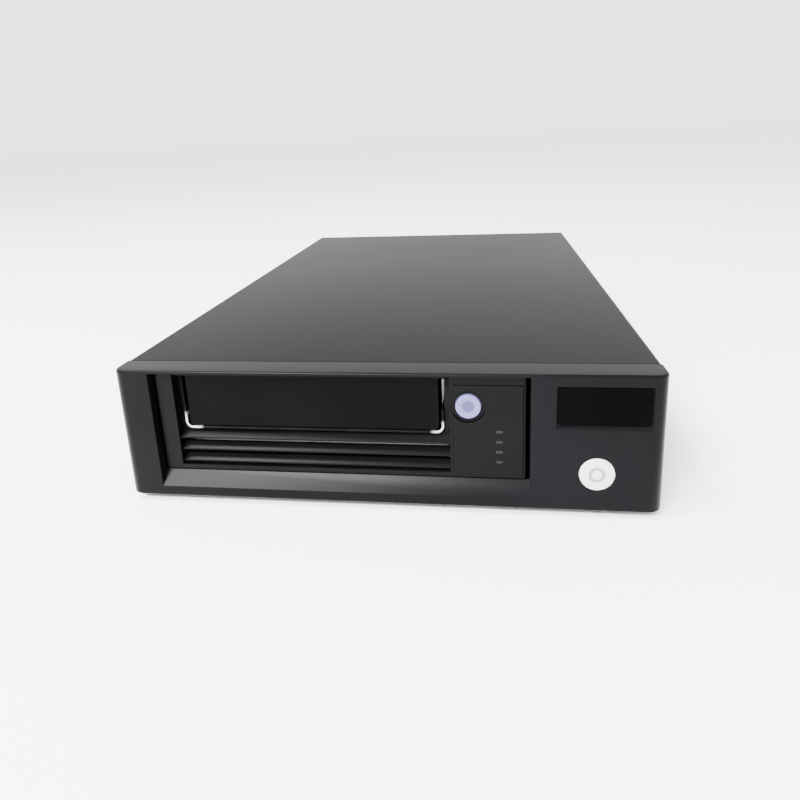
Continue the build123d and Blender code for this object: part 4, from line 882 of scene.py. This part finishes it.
@dataclass
class Studio:
    """A wide pale floor under an even white sky, with two soft lamps that model the drive.

    Attributes:
        half: Half the floor's width, so wide that its far edge meets the sky unseen.
        sky: The sky's strength, close to the lit floor's brightness.
        floor_colour: The paper's colour.
        lamps: The lamps.
    """

    half: float = 60.0
    sky: float = 3.0
    floor_colour: Colour = (0.95, 0.95, 0.95)
    lamps: tuple[Lamp, ...] = (
        Lamp("left_box", (-0.55, -0.42, 1.20), (-0.05, -0.15, 0.03), (0.35, 0.35), 36.0),
        Lamp("front_strip", (-0.56, -1.34, 1.20), (-0.04, -0.16, 0.01), (0.80, 0.22), 150.0),
    )

    def build(self) -> None:
        """Makes the floor, the sky and the lights."""
        edge = np.array([-self.half, self.half])
        points = np.zeros((2, 2, 3))
        points[..., 0] = edge[None]
        points[..., 1] = edge[:, None]
        floor = Skin().grid(points, ring_columns=False).build("studio_floor")
        shade = Shade("studio_paper")
        fibre, height = 4 * MM, 0.01 * MM
        paper = shade.finish(
            shade.noise(fibre), height, Base_Color=(*self.floor_colour, 1.0), Roughness=0.9
        )
        floor.data.materials.append(paper)
        world = bpy.data.worlds.new("studio_sky")
        world.use_nodes = True
        glow = world.node_tree.nodes["Background"].inputs
        glow["Color"].default_value = (1, 1, 1, 1)
        glow["Strength"].default_value = self.sky
        bpy.context.scene.world = world
        for lamp in self.lamps:
            lamp.build()


@dataclass
class DriverScrew:
    """A pan-head screw with a cross recess, worked out as one turned surface.

    Attributes:
        head: Head radius.
        height: Head height.
        shank: Shank radius.
        length: Shank length under the head.
        flush: True for a flat head.
    """

    head: float
    height: float
    shank: float
    length: float
    flush: bool = False

    def grid(self, seat: Sequence[float], axis: Sequence[float]) -> np.ndarray:
        """Returns the screw's surface.

        Args:
            seat: The middle of the head's underside.
            axis: The way that the head faces.

        Returns:
            The grid of points, from the middle of the head round to the end of the shank.
        """
        sides, rows = 64, 15
        angle = np.linspace(0, TURN, sides, endpoint=False)
        reach, shoulder = 0.62 * self.head, 0.75 * self.head
        top = np.concatenate([np.linspace(0, reach * 1.05, rows), [shoulder]])
        crown = 0.04 if self.flush else 0.22
        shoulder_fall = 0.56 * crown
        dome = self.height * (1 - crown * (top / self.head) ** 2)
        hollow = cross_recess(top, angle, reach, 0.75 * self.height)
        edge = rounded(
            [
                (shoulder, self.height * (1 - shoulder_fall), 0),
                (self.head, self.height * (1 - crown), 0.35 * self.height),
                (self.head, 0, 0),
                (self.shank, 0, 0),
                (self.shank, -self.length, 0.3 * self.shank),
                (0, -self.length, 0),
            ]
        )[1:]
        radius = np.concatenate([top, edge[:, 0]])
        height = np.concatenate(
            [dome[:, None] - hollow, np.repeat(edge[:, 1][:, None], sides, axis=1)]
        )
        return turned(radius, height, seat, axis, sides)


@dataclass
class OuterCase:
    """The cover, the base, the feet and the screws that join them.

    Attributes:
        foot: Radius of a foot where it meets the base.
        foot_edge: Rounding of a foot's rim.
    """

    foot: float = 7.5 * MM
    foot_edge: float = 0.7 * MM

    def build(self, frame: Frame) -> None:
        """Makes and dresses the pieces."""
        frame.eased("top_cover")
        frame.eased("base_chassis")
        self.feet(frame)
        self.side_screws(frame)

    def feet(self, frame: Frame) -> None:
        """Turns the four feet, each with a rounded rim and a dished sole."""
        low, high = frame.box("rubber_feet")
        taper, sole, dish, hollow, soft = 0.8 * MM, 2.6 * MM, 3.2 * MM, 0.8 * MM, 0.3 * MM
        outline = rounded(
            [
                (0, high[2], 0),
                (self.foot, high[2], 0),
                (self.foot - taper, 0, self.foot_edge),
                (self.foot - sole, 0, soft),
                (self.foot - dish, hollow, soft),
                (0, hollow, 0),
            ]
        )
        skin = Skin()
        for x in (low[0] + self.foot, high[0] - self.foot):
            for y in (low[1] + self.foot, high[1] - self.foot):
                skin.grid(turned(outline[:, 0], outline[:, 1], (x, y, 0), (0, 0, 1)))
        frame.stand_in(skin.build("turned_feet"), "rubber_feet")

    def side_screws(self, frame: Frame) -> None:
        """Sets a flush screw into each recess of the cover's sides."""
        low, high = frame.box("cover_screws")
        head = (high[2] - low[2]) / 2
        screw = DriverScrew(head, height=0.8 * MM, shank=SHANK, length=1.9 * MM, flush=True)
        skin = Skin()
        for side, x in ((-1, low[0]), (1, high[0])):
            for y in (low[1] + head, high[1] - head):
                seat = (x - side * screw.height, y, (low[2] + high[2]) / 2)
                skin.grid(screw.grid(seat, (side, 0, 0)))
        frame.stand_in(skin.build("flush_screws"), "cover_screws")


@dataclass(frozen=True)
class RoundButton:
    """A round push button that faces forward: its cap, the collar that keeps it in, and its stem.

    Attributes:
        node: The node that it stands for.
        piece: The new piece's name.
        lip: How far the collar stands out round the cap.
        collar: Distances of the collar's front and back from the button's rear end.
        collar_edge: Rounding of the collar's rims.
        stem: Radius of the stem.
        stem_edge: Rounding of the stem's end.
    """

    node: str
    piece: str
    lip: float
    collar: tuple[float, float]
    collar_edge: float
    stem: float
    stem_edge: float

    def cap(self, frame: Frame) -> float:
        """Returns the cap's radius: the collar fills the node's box, and the cap is a lip less."""
        low, high = frame.box(self.node)
        return (high[0] - low[0]) / 2 - self.lip

    def build(self, frame: Frame, face: Sequence[Corner], finish: RingedCap) -> None:
        """Turns the button and puts it in place of its node.

        Args:
            frame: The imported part.
            face: Corners of the cap's outline from its middle to its rim, with heights from its
                foremost plane.
            finish: Its finish, whose middle is set here.
        """
        low, high = frame.box(self.node)
        middle = frame.middle(self.node)
        radius, depth = (high[0] - low[0]) / 2, high[1] - low[1]
        front, back = (-(depth - place) for place in self.collar)
        outline = rounded(
            [
                *face,
                (self.cap(frame), front, 0),
                (radius, front, self.collar_edge),
                (radius, back, self.collar_edge),
                (self.stem, back, 0),
                (self.stem, -depth, self.stem_edge),
                (0, -depth, 0),
            ],
            steps=7,
        )
        centre = (middle[0], low[1], middle[2])
        skin = Skin().grid(turned(outline[:, 0], outline[:, 1], centre, (0, -1, 0), 96))
        finish = replace(finish, middle=(middle[0], middle[2]))
        frame.stand_in(skin.build(self.piece), self.node, finish)


@dataclass
class CaseFront:
    """The case's bezel with its blank badge plate and its power button.

    Attributes:
        ring_inner, ring_outer, ring_depth: Radii and depth of the groove in the power button.
        white, ring_grey: The button's colour and the groove's.
    """

    ring_inner: float = 1.9 * MM
    ring_outer: float = 3.1 * MM
    ring_depth: float = 0.35 * MM
    white: Colour = (0.52, 0.52, 0.54)
    ring_grey: Colour = (0.20, 0.20, 0.215)

    def build(self, frame: Frame) -> None:
        """Makes and dresses the pieces."""
        frame.eased("front_bezel")
        frame.eased("badge_plate")
        self.power_button(frame)

    def power_button(self, frame: Frame) -> None:
        """Turns the power button: a shallow dome with a soft ring groove."""
        button = RoundButton(
            "power_button", "domed_power_button", lip=0.85 * MM, collar=(3.4 * MM, 2.2 * MM),
            collar_edge=0.15 * MM, stem=2 * MM, stem_edge=0.3 * MM,
        )
        crest, slope, soft = -0.02 * MM, 0.1 * MM, 0.15 * MM
        rim, rim_edge = -0.14 * MM, 0.75 * MM
        face = [
            (0, 0.0, 0),
            (self.ring_inner, crest, soft),
            (self.ring_inner + slope, -self.ring_depth, soft),
            (self.ring_outer - slope, -self.ring_depth, soft),
            (self.ring_outer, crest, soft),
            (button.cap(frame), rim, rim_edge),
        ]
        finish = RingedCap(
            "power_button_white", self.white, self.white, 0.32, **CAP_GRAIN,
            inner=self.ring_inner, outer=self.ring_outer, tint=self.ring_grey,
        )
        button.build(frame, face, finish)


@dataclass
class MechanismFront:
    """The mechanism's face, door, entry guide, lights and eject button.

    Attributes:
        glint_reach: How far the painted glints reach round the guide's left and its right lower
            corner.
        lilac: The eject button's colour.
        lilac_painted_shade: The colour of its middle, darker as painted shade in the dished face.
    """

    glint_reach: tuple[float, float] = (6.2 * MM, 4.2 * MM)
    lilac: Colour = (0.100, 0.084, 0.210)
    lilac_painted_shade: Colour = (0.040, 0.033, 0.105)

    def build(self, frame: Frame) -> None:
        """Makes and dresses the pieces."""
        frame.eased("mech_face")
        frame.eased("tape_door", DOOR_MOULDING)
        self.guide(frame)
        frame.eased("light_pipes")
        self.eject_button(frame)

    def guide(self, frame: Frame) -> None:
        """Remakes the entry guide, painted dark as shade in the slot's gap but for painted glints
        at its two lower corners.
        """
        low, high = frame.box("entry_guide")
        # Dark colours painted as shade in the slot's gap, and bright spots painted as glints at
        # the lower corners
        finish = GlintedShadeEdge(
            "guide_painted_shade_and_glints", (0.0015, 0.0015, 0.0016), (0.003, 0.003, 0.003), 0.3,
            grain=Grain.ROLLED_Y, size=0.4, depth=0.004, patch=12,
            specular=0.03,
            glint_spots=tuple((x, low[2], reach) for x, reach in zip((low[0], high[0]), self.glint_reach)),
        )
        frame.eased("entry_guide", finish)

    def eject_button(self, frame: Frame) -> None:
        """Turns the eject button: a rolled rim round a dished face."""
        button = RoundButton(
            "eject_button", "dished_eject_button", lip=0.65 * MM, collar=(2.4 * MM, 1.2 * MM),
            collar_edge=0.12 * MM, stem=1.3 * MM, stem_edge=0.2 * MM,
        )
        cap = button.cap(frame)
        face = [
            (0, -0.55 * MM, 0),
            (0.45 * cap, -0.45 * MM, 2 * MM),
            (0.80 * cap, 0.0, 0.6 * MM),
            (cap, -0.05 * MM, 0.5 * MM),
        ]
        # The middle is painted darker, as shade in the dished face
        finish = RingedCap(
            "eject_button_lilac", self.lilac, self.lilac, 0.3, **CAP_GRAIN,
            inner=-1.0, outer=0.5 * cap, tint=self.lilac_painted_shade,
        )
        button.build(frame, face, finish)


@dataclass
class RearPanel:
    """The fan with its guard and screws, the mains inlet and the data sockets.

    Attributes:
        wire: Radius of the guard's wire.
        rings: Radii of the guard's rings.
        hole_pitch: Distance between the fan's screws.
        eyelet: Radius of the eyelets, to the middle of the wire.
        blades: Number of blades.
        root_chord, tip_chord: Width of a blade at the hub and at the tip.
        root_pitch, tip_pitch: Degrees that it leans from the axis there.
        hub: Radius of the hub.
    """

    wire: float = 0.5 * MM
    rings: tuple[float, ...] = (6.5 * MM, 11.0 * MM, 15.5 * MM)
    hole_pitch: float = 32.0 * MM
    eyelet: float = 2.4 * MM
    blades: int = 7
    root_chord: float = 12.6 * MM
    tip_chord: float = 13.6 * MM
    root_pitch: float = 32.0
    tip_pitch: float = 52.0
    hub: float = 11.0 * MM

    def build(self, frame: Frame) -> None:
        """Makes and dresses the pieces."""
        for node in ("fan_frame", "mains_inlet", "data_sockets"):
            frame.eased(node)
        self.guard(frame)
        self.screws(frame)
        self.rotor(frame)

    def corners(self, frame: Frame) -> list[tuple[float, float]]:
        """Returns the (x, z) of the fan's four screws."""
        middle = frame.middle("fan_guard")
        half = self.hole_pitch / 2
        return [
            (middle[0] + side * half, middle[2] + rise * half)
            for side in (-1, 1)
            for rise in (-1, 1)
        ]

    def guard(self, frame: Frame) -> None:
        """Bends the guard: three rings on four arms, each arm ending in an eyelet."""
        middle, (low, _) = frame.middle("fan_guard"), frame.box("fan_guard")
        arm_wire, points_round = self.wire * 0.9, 96
        arm_y, ring_y = low[1] + self.wire * 0.95, low[1] + 2 * self.wire
        axis = (0, 1, 0)
        angle = np.linspace(0, TURN, points_round, endpoint=False)
        circle = np.stack([np.cos(angle), np.zeros_like(angle), np.sin(angle)], axis=1)
        skin = Skin()
        for ring in self.rings:
            centre = np.array([middle[0], ring_y, middle[2]])
            skin.grid(tube(centre + ring * circle, self.wire, axis, True), ring_rows=True)
        hub = np.array([middle[0], arm_y, middle[2]])
        for x, z in self.corners(frame):
            eye = np.array([x, arm_y, z])
            skin.grid(tube(eye + self.eyelet * circle, self.wire, axis, True), ring_rows=True)
            out = eye - hub
            reach = np.linalg.norm(out)
            start, stop = self.rings[0] - self.wire, reach - self.eyelet
            path = hub + np.linspace(start, stop, 12)[:, None] * (out / reach)
            skin.grid(tube(path, arm_wire, axis, False))
        frame.stand_in(skin.build("bent_fan_guard"), "fan_guard")

    def screws(self, frame: Frame) -> None:
        """Sets the four fan screws with their cross recesses."""
        low, high = frame.box("fan_screws")
        head = (high[0] - low[0] - self.hole_pitch) / 2
        seat = frame.box("fan_guard")[0][1] + 2 * self.wire
        screw = DriverScrew(head, height=high[1] - seat, shank=SHANK, length=seat - low[1])
        skin = Skin()
        for x, z in self.corners(frame):
            skin.grid(screw.grid((x, seat, z), (0, 1, 0)))
        frame.stand_in(skin.build("fan_guard_screws"), "fan_screws")

    def rotor(self, frame: Frame) -> None:
        """Shapes the rotor: a round-shouldered hub with swept, twisted and bowed blades.

        On the cylinder of radius r a blade's section is a thin lens along the chord. Its point at
        x along the chord and y off it lies at angle (x sin p + y cos p) / r round the axis and at
        x cos p - y sin p along it, where p is the pitch at r.
        """
        low, high = frame.box("fan_rotor")
        middle = frame.middle("fan_guard")
        depth = high[1] - low[1]
        wall, shoulder, lip, bore, web, boss = (
            size * MM for size in (1.4, 1.4, 0.2, 2.1, 1.0, 2.0)
        )
        outline = rounded(
            [
                (0, depth, 0),
                (self.hub, depth, shoulder),
                (self.hub, 0, lip),
                (self.hub - wall, 0, lip),
                (self.hub - wall, web, 0),
                (bore, web, 0),
                (bore, depth - boss, 0),
                (0, depth - boss, 0),
            ]
        )
        base = (middle[0], low[1], middle[2])
        skin = Skin().grid(turned(outline[:, 0], outline[:, 1], base, (0, 1, 0), 72))

        # Rows run from root to tip, and a first and last row of no chord close the blade's ends
        clearance, rooted, rows, columns = 0.35 * MM, 0.6 * MM, 14, 28
        bow, half_thickness, swept = 0.9 * MM, 0.5 * MM, 0.16
        tip = (high[2] - low[2]) / 2 - clearance
        share = np.concatenate([[0], np.linspace(0, 1, rows), [1]])[:, None]
        full = np.ones_like(share)
        full[[0, -1]] = 0
        radius = self.hub - rooted + share * (tip - self.hub + rooted)
        chord = (self.root_chord + share * (self.tip_chord - self.root_chord)) * full
        pitch = np.radians(self.root_pitch + share * (self.tip_pitch - self.root_pitch))
        loop = np.linspace(0, TURN, columns, endpoint=False)[None]
        along = chord / 2 * np.cos(loop)
        off = (bow * (1 - np.cos(loop) ** 2) + half_thickness * np.sin(loop)) * full
        axial = low[1] + depth / 2 + along * np.cos(pitch) - off * np.sin(pitch)
        lean = swept * share**2 + (along * np.sin(pitch) + off * np.cos(pitch)) / radius
        for number in range(self.blades):
            angle = TURN * number / self.blades + lean
            across_x, across_z = radius * np.cos(angle), radius * np.sin(angle)
            skin.grid(np.stack([middle[0] + across_x, axial, middle[2] + across_z], axis=-1))
        frame.stand_in(skin.build("swept_fan_rotor"), "fan_rotor")


def main() -> None:
    """Builds the scene, one sub-assembly after another."""
    logging.basicConfig(level=logging.INFO, format="%(name)s: %(message)s")
    frame = Frame()
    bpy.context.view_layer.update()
    Camera().build()
    Studio().build()
    for assembly in (OuterCase(), CaseFront(), MechanismFront(), RearPanel()):
        LOG.info("building %s", type(assembly).__name__)
        assembly.build(frame)
    frame.dress_rest()


if __name__ == "__main__":
    main()
